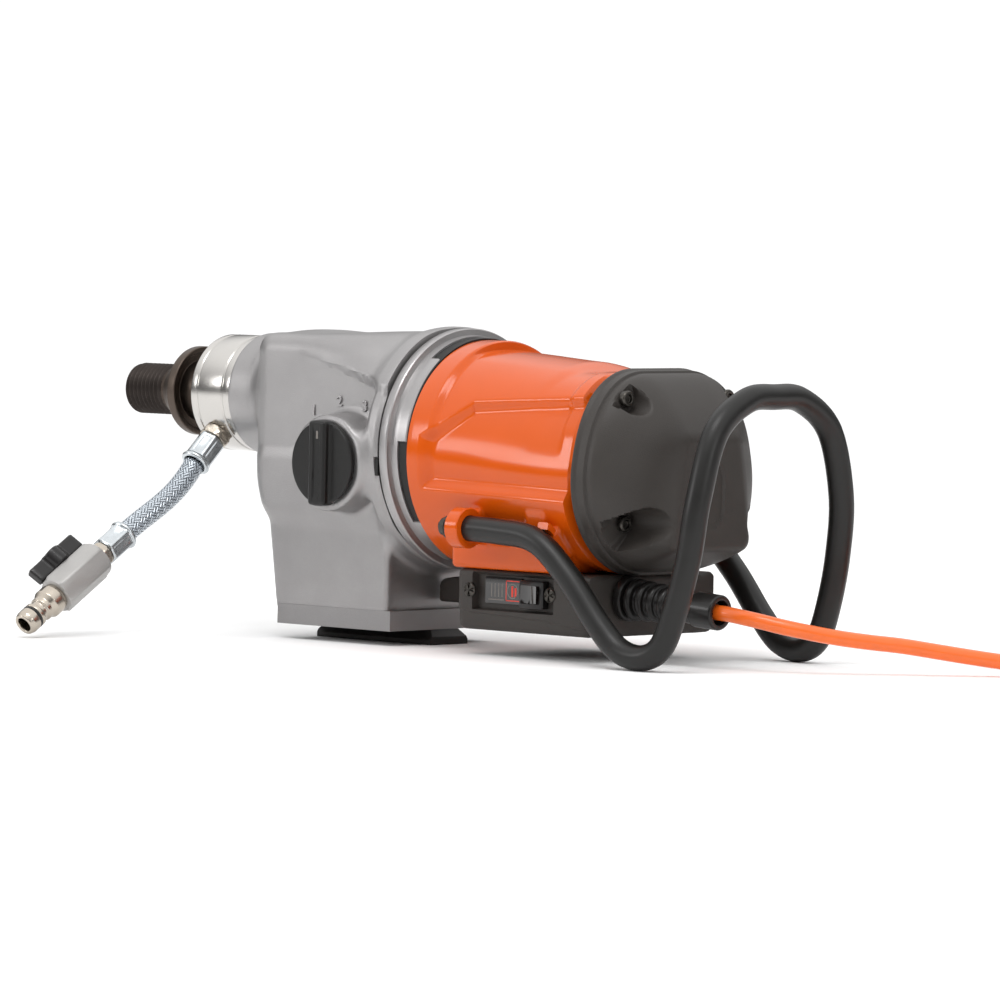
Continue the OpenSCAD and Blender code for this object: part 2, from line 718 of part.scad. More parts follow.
module stator_core() color("#6b6a68") difference() {
  rod(core_x - armature_len / 2, core_x + armature_len / 2, stator_r, motor_z);
  rod(core_x - armature_len, core_x + armature_len, stator_in, motor_z);
  for (s = [-1, 1]) block([core_x - armature_len, -24, motor_z + s * 40 - 5],
                          [core_x + armature_len, 24, motor_z + s * 40 + 5]);
}

module field_windings() color("#b5651d") {
  for (s = [-1, 1]) difference() {
    block([core_x - armature_len / 2 - 9, -23.5, motor_z + s * 40 - 4.5],
          [core_x + armature_len / 2 + 9, 23.5, motor_z + s * 40 + 4.5]);
    rod(core_x - armature_len, core_x + armature_len, stator_in + 0.2, motor_z);
  }
}

rear_bearing_x = joint_x - 22;
module rotor_shaft() color("#a3a09b") {
  rod(rear_bearing_x, seam_x - 3, rotor_r - 1.5, motor_z);
  rod(rear_bearing_x + 9, seam_x - 13.5, rotor_r + 0.5, motor_z);
  rod(seam_x - 3.5, pinion_x0, 2.6, motor_z);
  gear(pinion_x0 - 0.5, pinion_x1, pinion_teeth, motor_module, motor_z);
}

module armature_core() color("#55524f") difference() {
  rod(core_x - armature_len / 2, core_x + armature_len / 2, armature_r, motor_z);
  rod(core_x - armature_len, core_x + armature_len, rotor_r + 0.5, motor_z);
  for (a = [0 : 30 : 330]) translate([0, 0, motor_z]) rotate([a, 0, 0])
    block([core_x - armature_len, -1.6, armature_r - 7], [core_x + armature_len, 1.6, armature_r + 1]);
}

module armature_windings() color("#b87333") {
  for (s = [-1, 1]) {
    x = core_x + s * (armature_len / 2 + 5.2);
    tube(x - 5, x + 5, armature_r - 5, rotor_r + 0.5, motor_z);
  }
}

module commutator() color("#b87333") tube(-200, -184, 17, rotor_r + 0.5, motor_z);

module cooling_fan() color("#2a2927") difference() {
  union() {
    tube(-93, -90, 46, rotor_r + 0.5, motor_z);
    tube(-95, -82, 14, rotor_r + 0.5, motor_z);
    for (a = [0 : 30 : 330]) translate([0, 0, motor_z]) rotate([a, 0, 0])
      block([-91, -1, 13], [-82, 1, 46]);
  }
}

module motor_bearings() color("#c9c7c3") {
  tube(seam_x - 13, seam_x - 3, rotor_bearing_r, rotor_r - 1.5 + run_gap, motor_z);
  tube(rear_bearing_x, rear_bearing_x + 8, 11, rotor_r - 1.5 + run_gap, motor_z);
  // Rubber seat of the rear bearing, held by the cap
  tube(cap_x + 16.2, rear_bearing_x + 8, 14, 11, motor_z);
}

module brush_holders() color("#c9a227") {
  for (s = [-1, 1]) difference() {
    block([-198, s * 34 - 16, motor_z - 6], [-186, s * 34 + 16, motor_z + 6]);
    block([-196, s * 34 - 17, motor_z - 4], [-188, s * 34 + 17, motor_z + 4]);
  }
}

module carbon_brushes() color("#2f2f31") {
  for (s = [-1, 1]) difference() {
    block([-196, s * 30.5 - 13.5, motor_z - 4], [-188, s * 30.5 + 13.5, motor_z + 4]);
    rod(-200, -184, 17.4, motor_z);
  }
}

// ---- switch box ----

module switch_box() color("#413c39") difference() {
  union() {
    block([box_rear, -box_half, box_bottom], [box_front, box_half, box_top]);
    block([box_front - 1, -42, pedestal_z + 0.5], [pedestal_rear - 3, 42, box_top - 6]);
  }
  block([box_rear + wall, wall - box_half, box_bottom + wall], [box_front - wall, box_half - wall, box_top + 1]);
  block([box_front - 2 * wall, wall - 42, pedestal_z + 0.5 + wall], [pedestal_rear - 3 - wall, 42 - wall,
        box_top - 6 - wall]);
  block([recess_x0, box_half - wall - 1, recess_z0], [recess_x1, box_half + 1, recess_z1]);
  panel_screw_shapes();
  toward(gland_start, gland_end) translate([0, 0, -8]) cylinder(h = 20, r = 9);
}

// Sunken tray of the panel behind the recess
module switch_panel() color("#33302e") difference() {
  block([recess_x0 - 9, box_half - wall - 6, recess_z0 - 3], [recess_x1 + 12, box_half - wall, recess_z1 + 1.5]);
  block([recess_x0, box_half - wall - 3, recess_z0], [recess_x1, box_half, recess_z1]);
  block([rocker_x - 9.6, box_half - 20, recess_z0 + 1], [rocker_x + 9.6, box_half, recess_z1 - 1]);
  panel_screw_shapes();
}

module panel_screw_shapes() {
  for (x = panel_screw_x) translate([x, box_half - 9, panel_screw_z]) rotate([-90, 0, 0]) {
    cylinder(h = 9.4, r = 1.7);
    translate([0, 0, 6.6]) cylinder(h = 2.8, r1 = 1.7, r2 = 4.4);
  }
}

module panel_screws() color("#6e6a60") difference() {
  panel_screw_shapes();
  for (x = panel_screw_x) translate([x, box_half + 0.6, panel_screw_z]) rotate([0, 20, 0])
    for (a = [0, 90]) rotate([0, a, 0]) cube([4.6, 3, 1.1], center = true);
}

module display_window() color("#15100f")
  block([rocker_x + 10.4, box_half - wall - 3, recess_z0 + 2.5], [recess_x1 - 0.6, box_half - wall - 0.6,
        recess_z1 - 0.6]);

module switch_body() color("#141312") difference() {
  block([rocker_x - 9.5, box_half - 20, recess_z0 + 1.1], [rocker_x + 9.5, box_half + 1.5, recess_z1 - 1.1]);
  block([rocker_x - 8.4, rocker_y - 5.4, rocker_z - 6.6], [rocker_x + 8.4, box_half + 2, rocker_z + 6.6]);
  translate([rocker_x, rocker_y, rocker_z]) cylinder(h = 15, r = 1.3, center = true);
}

module power_rocker() color("#1b1a19") translate([rocker_x, rocker_y, rocker_z]) rotate([0, 0, -8]) {
  translate([0, 0, -6]) linear_extrude(12)
    polygon([[-7.4, -2.6], [7.4, -2.6], [7.4, 4.6], [0, 3], [-7.4, 4.6]]);
  cylinder(h = 14.4, r = 1.2, center = true);
}

module control_board() color("#1f5c3a") {
  block([-180, -45, box_bottom + wall + 0.2], [-116, 30, box_bottom + wall + 1.8]);
  block([-150, -38, box_bottom + wall + 1.8], [-126, -16, box_bottom + wall + 18]);
  translate([-165, 0, box_bottom + wall + 1.8]) cylinder(h = 22, r = 9);
}

// ---- handle ----

function mirrored(p) = [for (q = p) [q[0], -q[1], q[2]]];
function reversed(p) = [for (i = [len(p) - 1 : -1 : 0]) p[i]];
handle_curve = smooth(concat(handle_side, reversed(mirrored([for (i = [0 : len(handle_side) - 2])
  handle_side[i]]))), 4);

module handle_shape(r) swept(handle_curve, r, 14, [0, 1, 0]);

module handle_tube() color("#1e1d1c") handle_shape(tube_r);

module handle_end_bolts() color("#5c5a57") {
  for (s = [-1, 1]) translate([handle_side[0][0], s * handle_side[0][1], handle_side[0][2]])
    rotate([0, 90, 0]) translate([0, 0, 0.3]) {
      cylinder(h = 1.6, r = tube_r - 0.4);
      translate([0, 0, 1.6]) hexagon(10, 4.4);
    }
}

// ---- cord ----

module cable_gland() color("#1c1b1a") toward(gland_start, gland_end) {
  len = norm(gland_end - gland_start);
  difference() {
    union() {
      cylinder(h = 5, r = 13.5);
      cylinder(h = len, r = 8.6);
      for (i = [0 : 4]) translate([0, 0, 6.5 + 8 * i]) cylinder(h = 4.6, r = 12.4 - 0.5 * i);
      translate([0, 0, len - 18]) cylinder(h = 18, r = 10.4);
    }
    translate([0, 0, len - 8]) cylinder(h = 9, r = 7.4);
  }
}

module power_cord() color("#e8621c") swept(cord_points, cord_r, 10, [0, 0, 1]);

module cord_coil() color("#e8621c") translate([coil_centre[0], coil_centre[1], 0]) rotate_extrude()
  translate([coil_mean_r - coil_half, 0]) square([2 * coil_half, coil_h]);

module cord_tail() color("#e8621c") translate([coil_centre[0], coil_centre[1], 0])
  swept(tail_points, cord_r, 10, [0, 0, 1]);

module plug_body() color("#201f1e") translate([coil_centre[0], coil_centre[1] + plug_y, plug_z])
  rotate([0, -90, 0]) {
    translate([0, 0, -2]) cylinder(h = 15, r1 = cord_r + 1.2, r2 = 9);
    translate([0, 0, 12]) hull() for (s = [-1, 1]) translate([0, s * 6, 0]) {
      cylinder(h = 1, r = 8.5, $fn = hull_fn);
      translate([0, 0, 12]) cylinder(h = 28, r = 11.8, $fn = hull_fn);
    }
  }

module plug_pins() color("#c8c4bc") for (s = [-1, 1])
  translate([coil_centre[0] - 52, coil_centre[1] + plug_y + s * 9.5, plug_z]) rotate([0, -90, 0])
    cylinder(h = 19, r = 2.4);

// ---- water line ----

module water_nipple() color("#cdbf9f") port() difference() {
  union() {
    translate([0, 0, chamber_r + 0.6]) cylinder(h = nut_r0 - chamber_r, r = 6.5);
    translate([0, 0, nut_r0]) hexagon(17, nut_h);
  }
  cylinder(h = hose_start_r, r = 3.5);
}

module ferrule() difference() {
  union() {
    translate([0, 0, 0.2]) hexagon(16.4, ferrule_len - 3.4);
    translate([0, 0, ferrule_len - 3.4]) cylinder(h = 3.2, r = 9.2);
  }
  translate([0, 0, -1]) cylinder(h = ferrule_len + 2, r = 3.5);
}

module hose_ferrules() color("#bfc3c4") {
  port() translate([0, 0, nut_r0 + nut_h]) ferrule();
  line() translate([0, 0, ferrule_len]) mirror([0, 0, 1]) ferrule();
}

hose_from = [port_x, hose_start_r * cos(port_angle), spindle_z + hose_start_r * sin(port_angle)];
hose_to = [port_x, line_start[0], line_start[1]];
hose_curve = [for (i = [0 : 16]) bezier(hose_from, hose_from + 28 * [0, cos(port_angle - 8),
  sin(port_angle - 8)], hose_to - 28 * [0, cos(line_angle), sin(line_angle)], hose_to, i / 16)];

module hose() color("#aeb4b9") swept(hose_curve, hose_r, 12, [1, 0, 0]);

module valve_body() color("#a9a6a3") line() difference() {
  union() {
    translate([0, 0, ferrule_len]) hexagon(15, nut_h);
    translate([0, 0, valve_at]) rotate([0, 0, lever_turn - 30]) hexagon(valve_flats, valve_len);
  }
  translate([0, 0, ferrule_len - 1]) cylinder(h = nut_h + valve_len + 2, r = 4.5);
  translate([0, 0, valve_at + valve_len / 2]) sphere(7.6);
  translate([0, 0, valve_at + valve_len / 2]) rotate([0, 0, lever_turn]) rotate([0, 90, 0])
    cylinder(h = valve_flats, r = 3 + run_gap);
}

module valve_ball() color("#d5d5d3") line() translate([0, 0, valve_at + valve_len / 2]) {
  difference() {
    sphere(7.3);
    cylinder(h = 20, r = 4, center = true);
  }
  rotate([0, 0, lever_turn]) rotate([0, 90, 0]) translate([0, 0, 6.4]) cylinder(h = valve_flats / 2 - 1, r = 3);
}

module valve_lever() color("#1f1e1d") line() translate([0, 0, valve_at + valve_len / 2])
  rotate([0, 0, lever_turn]) rotate([0, 90, 0]) translate([0, 0, valve_flats / 2 + face_gap])
    difference() {
      union() {
        cylinder(h = 11, r = 7.5);
        for (s = [-1, 1]) translate([s * 12, 0, 5.5]) cube([16, 5.6, 11], center = true);
      }
      translate([0, 0, -1]) cylinder(h = 5.9, r = 3);
    }

module coupling_nipple() color("#cfc9bf") line() translate([0, 0, valve_at + valve_len]) difference() {
  rotate_extrude() polygon([[0, 0], [8.6, 0], [9.4, 3], [9.4, 9], [7.6, 12], [7.6, 15], [6.4, 15.6],
    [6.4, 18.4], [7.6, 19], [7.6, 21.6], [6.1, 21.6], [6.1, 23.4], [7.6, 23.4], [7.6, 28], [6.6, 31], [0, 31]]);
  translate([0, 0, -1]) cylinder(h = 40, r = 4.5);
}

module o_ring() color("#151414") line() translate([0, 0, valve_at + valve_len + 22.5])
  rotate_extrude() translate([6.9, 0]) circle(r = 0.8, $fn = 24);

// ---- output ----

gear_housing();
bearing_plate();
motor_flange();
flange_bolts();
water_collar();
shaft_seals();
spacer_plate();
wedge_plate();
base_bolts();
motor_housing();
rear_cap();
cap_screws();
stator_core();
field_windings();
rotor_shaft();
armature_core();
commutator();
armature_windings();
cooling_fan();
motor_bearings();
brush_holders();
carbon_brushes();
countershaft();
idle_gear_1();
idle_gear_2();
idle_gear_3();
draw_key();
shift_collar();
shift_fork();
selector_rail();
spindle();
spindle_gears();
gear_bearings();
gear_knob();
selector_crank();
switch_box();
switch_panel();
panel_screws();
switch_body();
power_rocker();
display_window();
control_board();
handle_tube();
handle_end_bolts();
cable_gland();
power_cord();
cord_coil();
cord_tail();
plug_body();
plug_pins();
water_nipple();
hose();
hose_ferrules();
valve_body();
valve_ball();
valve_lever();
coupling_nipple();
o_ring();
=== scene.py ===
"""Three-speed core drill motor unit: the finished looks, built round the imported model.

Lengths inside the functions are millimetres; a mesh gets its metres as it is made.
"""
import json
import math

import bmesh
import bpy
import numpy as np
from mathutils import Matrix, Vector

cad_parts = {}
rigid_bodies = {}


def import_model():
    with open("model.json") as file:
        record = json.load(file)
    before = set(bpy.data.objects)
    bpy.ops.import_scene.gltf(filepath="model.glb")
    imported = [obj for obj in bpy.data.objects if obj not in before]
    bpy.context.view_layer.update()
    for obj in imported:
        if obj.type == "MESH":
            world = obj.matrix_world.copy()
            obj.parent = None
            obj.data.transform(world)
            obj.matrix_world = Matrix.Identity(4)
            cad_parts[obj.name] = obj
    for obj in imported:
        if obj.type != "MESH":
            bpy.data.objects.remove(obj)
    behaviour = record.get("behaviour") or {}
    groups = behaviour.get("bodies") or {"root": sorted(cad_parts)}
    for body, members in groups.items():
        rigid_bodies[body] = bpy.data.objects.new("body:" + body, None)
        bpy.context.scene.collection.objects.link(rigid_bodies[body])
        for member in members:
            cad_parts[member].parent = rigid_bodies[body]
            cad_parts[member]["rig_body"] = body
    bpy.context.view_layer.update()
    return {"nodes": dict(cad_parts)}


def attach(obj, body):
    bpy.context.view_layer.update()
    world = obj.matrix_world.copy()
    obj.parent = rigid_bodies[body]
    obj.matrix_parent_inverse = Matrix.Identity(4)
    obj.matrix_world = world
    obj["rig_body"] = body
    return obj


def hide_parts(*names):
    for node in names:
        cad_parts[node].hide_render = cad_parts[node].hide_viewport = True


bl_info = {
    "name": "Core drill motor",
    "version": (1, 0, 0),
    "blender": (4, 5, 0),
    "location": "View3D > Sidebar > Core drill",
    "description": "Builds a three-speed core drill motor with its water line, handle and mains cord",
    "category": "Add Mesh",
}

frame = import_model()

# Axes and planes of the machine
SPINDLE_Z = 145.9
MOTOR_Z = 118.5
HOUSING_Z = 116.0
SEAM_X = -59.0
FLANGE_X = -77.5
JOINT_X = -210.6
CAP_X = -260.6
PORT_X = 124.0
PORT_ANGLE = -44.0
LINE_ANGLE = -32.7
LINE_START = (103.0, 61.0)
NUT_R0 = 35.5
NUT_H = 6.4
FERRULE = 21.0
VALVE_AT = FERRULE + NUT_H
VALVE_LEN = 40.0
LEVER_TURN = -45.0
HOSE_R = 7.0
PANEL_KNEE_X = -121.3
PANEL_FRONT_X = -87.0
POCKET_X = -229.5
ROCKER_HALF = 7.2
DISPLAY_Y = 53.92
KNOB = (-19.0, 61.0, 109.5)


def hexed(code, alpha=1.0):
    """A screen colour such as 9a9794 as linear light."""
    parts = [int(code[i : i + 2], 16) / 255 for i in (0, 2, 4)]
    return [p / 12.92 if p <= 0.04045 else ((p + 0.055) / 1.055) ** 2.4 for p in parts] + [alpha]


def tint(colour, factor):
    """The same colour lighter or darker, kept within white."""
    return [min(1, c * factor) for c in colour[:3]] + [1]


class DrillSettings(bpy.types.PropertyGroup):
    """Colours and small sizes that a user would change"""

    housing_colour: bpy.props.FloatVectorProperty(
        name="Motor housing", description="Colour of the motor housing", subtype="COLOR",
        size=3, min=0, max=1, default=hexed("cc5208")[:3])
    casing_colour: bpy.props.FloatVectorProperty(
        name="Gear casing", description="Colour of the cast gear casing", subtype="COLOR",
        size=3, min=0, max=1, default=hexed("989696")[:3])
    plastic_colour: bpy.props.FloatVectorProperty(
        name="Rear cap", description="Colour of the dark plastic parts", subtype="COLOR",
        size=3, min=0, max=1, default=hexed("35312e")[:3])
    cord_colour: bpy.props.FloatVectorProperty(
        name="Cord", description="Colour of the mains cord", subtype="COLOR",
        size=3, min=0, max=1, default=hexed("ee6a1c")[:3])
    panel_depth: bpy.props.FloatProperty(
        name="Side panel depth", description="How deep the side panels of the motor housing are sunk",
        unit="LENGTH", min=0, max=0.008, default=0.0052)
    thread_pitch: bpy.props.FloatProperty(
        name="Thread pitch", description="Pitch of the spindle thread",
        unit="LENGTH", min=0.002, max=0.006, default=0.0036)
    grain_depth: bpy.props.FloatProperty(
        name="Cast grain", description="Depth of the grain on cast metal",
        unit="LENGTH", min=0, max=0.001, default=0.00012)
    knob_grip: bpy.props.FloatProperty(
        name="Grip width", description="Width of the bar across the gear knob",
        unit="LENGTH", min=0.01, max=0.02, default=0.0135)


# ---- surfaces on a grid ----


def grid_faces(rows, cols, loop_rows=False, loop_cols=True):
    """Four-sided faces between neighbouring points of a grid, closed round where asked."""
    i = np.arange(rows if loop_rows else rows - 1)[:, None] + np.zeros(cols, int)[None]
    i = i[:, : cols if loop_cols else cols - 1]
    j = np.arange(cols if loop_cols else cols - 1)[None] + np.zeros_like(i)
    k, m = (i + 1) % rows, (j + 1) % cols
    return np.stack([i * cols + j, i * cols + m, k * cols + m, k * cols + j], -1).reshape(-1, 4)


def capped(grid):
    """Rings of points joined into a closed skin: quads between rings, a fan over each end ring."""
    rows, cols, _ = grid.shape
    points = np.concatenate([grid.reshape(-1, 3), [grid[0].mean(0)], [grid[-1].mean(0)]])
    j = np.arange(cols)
    k = (j + 1) % cols
    first = np.stack([k, j, 0 * j + rows * cols], 1)
    last = np.stack([j, k, 0 * j + rows * cols + 1], 1) + [(rows - 1) * cols, (rows - 1) * cols, 0]
    return points, [grid_faces(rows, cols), first, last]


def looped(grid):
    """Rings of points joined into a closed ring, the last ring meeting the first."""
    rows, cols, _ = grid.shape
    return grid.reshape(-1, 3), [grid_faces(rows, cols, True)]


def joined(parts):
    """Several (points, faces) as one."""
    points, faces, start = [], [], 0
    for p, f in parts:
        points.append(p)
        faces += [g + start for g in f]
        start += len(p)
    return np.concatenate(points), faces


def outward(points, faces):
    """Turns the faces round if the volume they enclose, summed from triple products, is negative."""
    total = 0.0
    for f in faces:
        a = points[f[:, 0]]
        for n in range(1, f.shape[1] - 1):
            total += (a * np.cross(points[f[:, n]], points[f[:, n + 1]])).sum()
    return [f[:, ::-1] for f in faces] if total < 0 else faces


def put(name, parts, material, body="root", replaces=(), sharp=40.0, attribute=None):
    """Makes one piece from (points, faces) lists in millimetres and lets it ride on a body."""
    parts = [(p, outward(p, f)) for p, f in parts]
    points, faces = joined(parts)
    mesh = bpy.data.meshes.new(name)
    mesh.from_pydata((points * 0.001).tolist(), [], [row for f in faces for row in f.tolist()])
    if attribute is not None:
        layer = mesh.attributes.new("along", "FLOAT_VECTOR", "POINT")
        layer.data.foreach_set("vector", np.ascontiguousarray(attribute, np.float32).ravel())
    mesh.validate()
    mesh.materials.append(material)
    mesh.polygons.foreach_set("use_smooth", np.ones(len(mesh.polygons), bool))
    if sharp:
        mesh.set_sharp_from_angle(angle=math.radians(sharp))
    piece = bpy.data.objects.new(name, mesh)
    bpy.context.scene.collection.objects.link(piece)
    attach(piece, body)
    if replaces:
        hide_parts(*replaces)
    return piece


def angles(count):
    """Even angles round a full turn."""
    return np.arange(count) * 2 * math.pi / count


def polar(radius, angle, height):
    """Points round +Z from a grid of radii."""
    return np.stack([radius * np.cos(angle), radius * np.sin(angle), np.broadcast_to(height, radius.shape)],
                    -1)


def about_z(degrees):
    """A turn about +Z as a 3x3 matrix."""
    c, s = math.cos(math.radians(degrees)), math.sin(math.radians(degrees))
    return np.array([[c, -s, 0], [s, c, 0], [0, 0, 1]])


def turned(profile, cols=96):
    """A profile of (radius, height) points turned about +Z and closed at both ends."""
    r, h = np.asarray(profile, float).T
    return polar(np.broadcast_to(r[:, None], (len(r), cols)), angles(cols), h[:, None])


def rounded(profile, radius=0.5, steps=3):
    """Swaps each corner of an open profile for a curve between two points that far along its sides."""
    p = np.asarray(profile, float)
    a, b, c = p[:-2], p[1:-1], p[2:]
    la, lc = np.linalg.norm(a - b, axis=1), np.linalg.norm(c - b, axis=1)
    r = np.minimum(radius, 0.45 * np.minimum(la, lc))[:, None]
    s, e = b + (a - b) / la[:, None] * r, b + (c - b) / lc[:, None] * r
    t = np.linspace(0, 1, steps + 1)[None, :, None]
    curve = (1 - t) ** 2 * s[:, None] + 2 * t * (1 - t) * b[:, None] + t * t * e[:, None]
    return np.concatenate([p[:1], curve.reshape(-1, 2), p[-1:]])


def prism(outline, low, high, edge=0.5):
    """A closed outline in the XY plane carried along Z, its rims drawn in by edge for a small chamfer."""
    o = np.asarray(outline, float)
    centre = o.mean(0)
    away = o - centre
    drawn = o - away / np.linalg.norm(away, axis=1)[:, None] * edge
    rows = [(drawn, low), (o, low + edge), (o, high - edge), (drawn, high)]
    return np.stack([np.concatenate([p, np.full((len(p), 1), z)], 1) for p, z in rows])


def hexagon(flats, low, high, turn=0.0, edge=0.8):
    """Hexagon bar with its corners turned down to a cone at each end, as on a nut."""
    a = angles(72)
    r = flats / 2 / np.cos((a + math.pi / 6) % (math.pi / 3) - math.pi / 6)
    tip, rim, free = flats / 2 - 0.3, flats / 2 + 0.2, flats / 2 / 0.866 + 1
    rows = [(tip, low), (rim, low + 0.25), (free, low + edge + 0.8),
            (free, high - edge - 0.8), (rim, high - 0.25), (tip, high)]
    return np.stack([polar(np.minimum(r, cone), a + turn, z) for cone, z in rows])


def frame_along(path, reference):
    """Unit tangent, side and up at each point of a path; side is the reference made square to the tangent."""
    t = np.gradient(path, axis=0)
    t /= np.linalg.norm(t, axis=1)[:, None]
    n = reference - (t @ reference)[:, None] * t
    n /= np.linalg.norm(n, axis=1)[:, None]
    return t, n, np.cross(t, n)


def carried(path, radius, cols=20, reference=(0, 0, 1)):
    """A round profile carried along a path; radius is one number or one for each point."""
    path = np.asarray(path, float)
    _, n, b = frame_along(path, np.asarray(reference, float))
    a = angles(cols)
    r = np.broadcast_to(np.asarray(radius, float), (len(path),))
    return path[:, None] + r[:, None, None] * (np.cos(a)[None, :, None] * n[:, None]
                                               + np.sin(a)[None, :, None] * b[:, None])


def smooth_path(points, steps):
    """Catmull-Rom curve through the points, in even steps between neighbours."""
    p = np.asarray(points, float)
    q = np.concatenate([p[:1], p, p[-1:]])
    a, b, c, d = q[:-3], q[1:-2], q[2:-1], q[3:]
    t = (np.arange(steps) / steps)[None, :, None]
    a, b, c, d = (v[:, None] for v in (a, b, c, d))
    curve = 0.5 * (2 * b + (c - a) * t + (2 * a - 5 * b + 4 * c - d) * t**2 + (3 * b - a - 3 * c + d) * t**3)
    return np.concatenate([curve.reshape(-1, 3), p[-1:]])


def distances(path):
    """How far along the path each of its points is."""
    return np.concatenate([[0], np.cumsum(np.linalg.norm(np.diff(path, axis=0), axis=1))])


def tube_places(lengths, cols):
    """The along attribute of a capped tube: metres along it, share of the way round, zeros for caps."""
    at = np.zeros((len(lengths), cols, 3))
    at[:, :, 0], at[:, :, 1] = (lengths * 0.001)[:, None], (np.arange(cols) / cols)[None]
    return np.concatenate([at.reshape(-1, 3), np.zeros((2, 3))])


def even_path(path, step):
    """The same path with its points a fixed step apart."""
    along = distances(path)
    at = np.linspace(0, along[-1], max(2, int(round(along[-1] / step)) + 1))
    return np.stack([np.interp(at, along, path[:, k]) for k in range(3)], 1)


def moved(grid, matrix, place):
    """Points turned by a 3x3 matrix, whose columns are the new axes, and then shifted."""
    return grid @ np.asarray(matrix, float).T + np.asarray(place, float)


def placed(parts, matrix, place):
    return [(moved(p, matrix, place), f) for p, f in parts]


def port_frame(angle):
    """Axes whose Z points down the water line at that angle in the YZ plane; X stays the drilling axis."""
    a = math.radians(angle - 90)
    return np.array([[1, 0, 0], [0, math.cos(a), -math.sin(a)], [0, math.sin(a), math.cos(a)]])


# Axes for what is made along +Z: with the drilling axis and against it
ALONG_X = np.array([[0, 0, 1], [0, 1, 0], [-1, 0, 0]], float)
BACKWARD = np.array([[0, 0, -1], [0, 1, 0], [1, 0, 0]], float)


# ---- distance fields: negative inside, in millimetres ----


def meet(a, b, r=0.0):
    """Where two shapes overlap, with the edge between them rounded to radius r."""
    if not r:
        return np.maximum(a, b)
    return np.minimum(np.maximum(a, b), -r) + np.hypot(np.maximum(a + r, 0), np.maximum(b + r, 0))


def merge(a, b, r=0.0):
    """Two shapes together, with a fillet of radius r in the corner between them."""
    return -meet(-a, -b, r)


def blend_min(a, b, k):
    """The smaller of two values with the change-over spread over k."""
    h = np.clip(0.5 + 0.5 * (b - a) / k, 0, 1)
    return b * (1 - h) + a * h - k * h * (1 - h)


def ramp(v, a, b):
    """0 before a, 1 after b, with a smooth S between."""
    t = np.clip((v - a) / (b - a), 0, 1)
    return t * t * (3 - 2 * t)


def slab(v, low, high):
    return np.maximum(low - v, v - high)


def brick(p, low, high, r=0.0):
    """A box with all its edges rounded."""
    low, high = np.asarray(low, float), np.asarray(high, float)
    q = np.abs(p - (low + high) / 2) - (high - low) / 2 + r
    return np.linalg.norm(np.maximum(q, 0), axis=-1) + np.minimum(q.max(-1), 0) - r


def capsule(y, z, half, at_z, r):
    """Two circles side by side at +-half and what lies between them."""
    return np.hypot(y - np.clip(y, -half, half), z - at_z) - r


def barrel(y, z):
    """Rear section of the motor housing, which the cap carries on: two stacked pairs of circles."""
    return blend_min(capsule(y, z, 14, 108, 57), capsule(y, z, 20, 125, 46), 5)


def cast(field, origins, directions, steps=34):
    """Moves a point out from each origin along its direction until the field puts it on the surface."""
    t = np.full(len(origins), 2.0)
    for _ in range(steps):
        d = field(origins + t[:, None] * directions)
        t = np.clip(t - 0.92 * d, 0.5, 400)
    return origins + t[:, None] * directions


def shell(field, stations, cols, weight=None):
    """A skin on a grid: each row has an origin on the core line (x, z) and a tilt of its rays towards +X,
    each column an angle round X.
    A point is the origin plus its distance to the surface times (sin tilt, cos tilt cos a, cos tilt sin a)."""
    st = np.asarray(stations, float)
    fine = np.linspace(0, 2 * math.pi, 2001)
    w = np.ones_like(fine) if weight is None else weight(fine)
    total = np.concatenate([[0], np.cumsum((w[1:] + w[:-1]) / 2)])
    a = np.interp(np.arange(cols) / cols * total[-1], total, fine)
    tilt = np.radians(st[:, 2])[:, None]
    d = np.stack([np.sin(tilt) + 0 * a, np.cos(tilt) * np.cos(a), np.cos(tilt) * np.sin(a)], -1)
    o = np.stack([st[:, 0], 0 * st[:, 0], st[:, 1]], -1)[:, None] + 0 * d
    points = cast(field, o.reshape(-1, 3), d.reshape(-1, 3))
    return points.reshape(len(st), cols, 3)


def stations(*stops):
    """Rows between stops of (x, z, tilt, number of rows to the next stop)."""
    rows = [np.linspace(a[:3], b[:3], a[3], endpoint=False) for a, b in zip(stops[:-1], stops[1:])]
    return np.concatenate([*rows, [stops[-1][:3]]])


# ---- materials ----


class Value:
    """A socket that takes arithmetic: an expression on values adds its Math nodes."""

    def __init__(self, sheet, socket):
        self.sheet, self.socket = sheet, socket

    def math(self, operation, *others):
        return self.sheet.node("ShaderNodeMath", {"operation": operation}, dict(enumerate([self, *others])))

    def __add__(self, other):
        return self.math("ADD", other)

    __radd__ = __add__

    def __mul__(self, other):
        return self.math("MULTIPLY", other)

    __rmul__ = __mul__

    def __sub__(self, other):
        return self.math("SUBTRACT", other)

    def __rsub__(self, other):
        return self.sheet.node("ShaderNodeMath", {"operation": "SUBTRACT"}, {0: other, 1: self})

    def __truediv__(self, other):
        return self.math("DIVIDE", other)

    def clipped(self):
        return self.sheet.node("ShaderNodeClamp", {}, {"Value": self})

    def over(self, edge, soft):
        """0 below the edge, 1 above it, over a soft width."""
        return ((self - edge) / soft + 0.5).clipped()


class Sheet:
    """A node tree and the way its nodes are added."""

    def __init__(self, tree):
        self.tree = tree

    def node(self, kind, settings=None, values=None, out=0):
        n = self.tree.nodes.new(kind)
        for key, value in (settings or {}).items():
            setattr(n, key, value)
        for key, value in (values or {}).items():
            if isinstance(value, Value):
                self.tree.links.new(value.socket, n.inputs[key])
            else:
                n.inputs[key].default_value = value
        return Value(self, n.outputs[out])


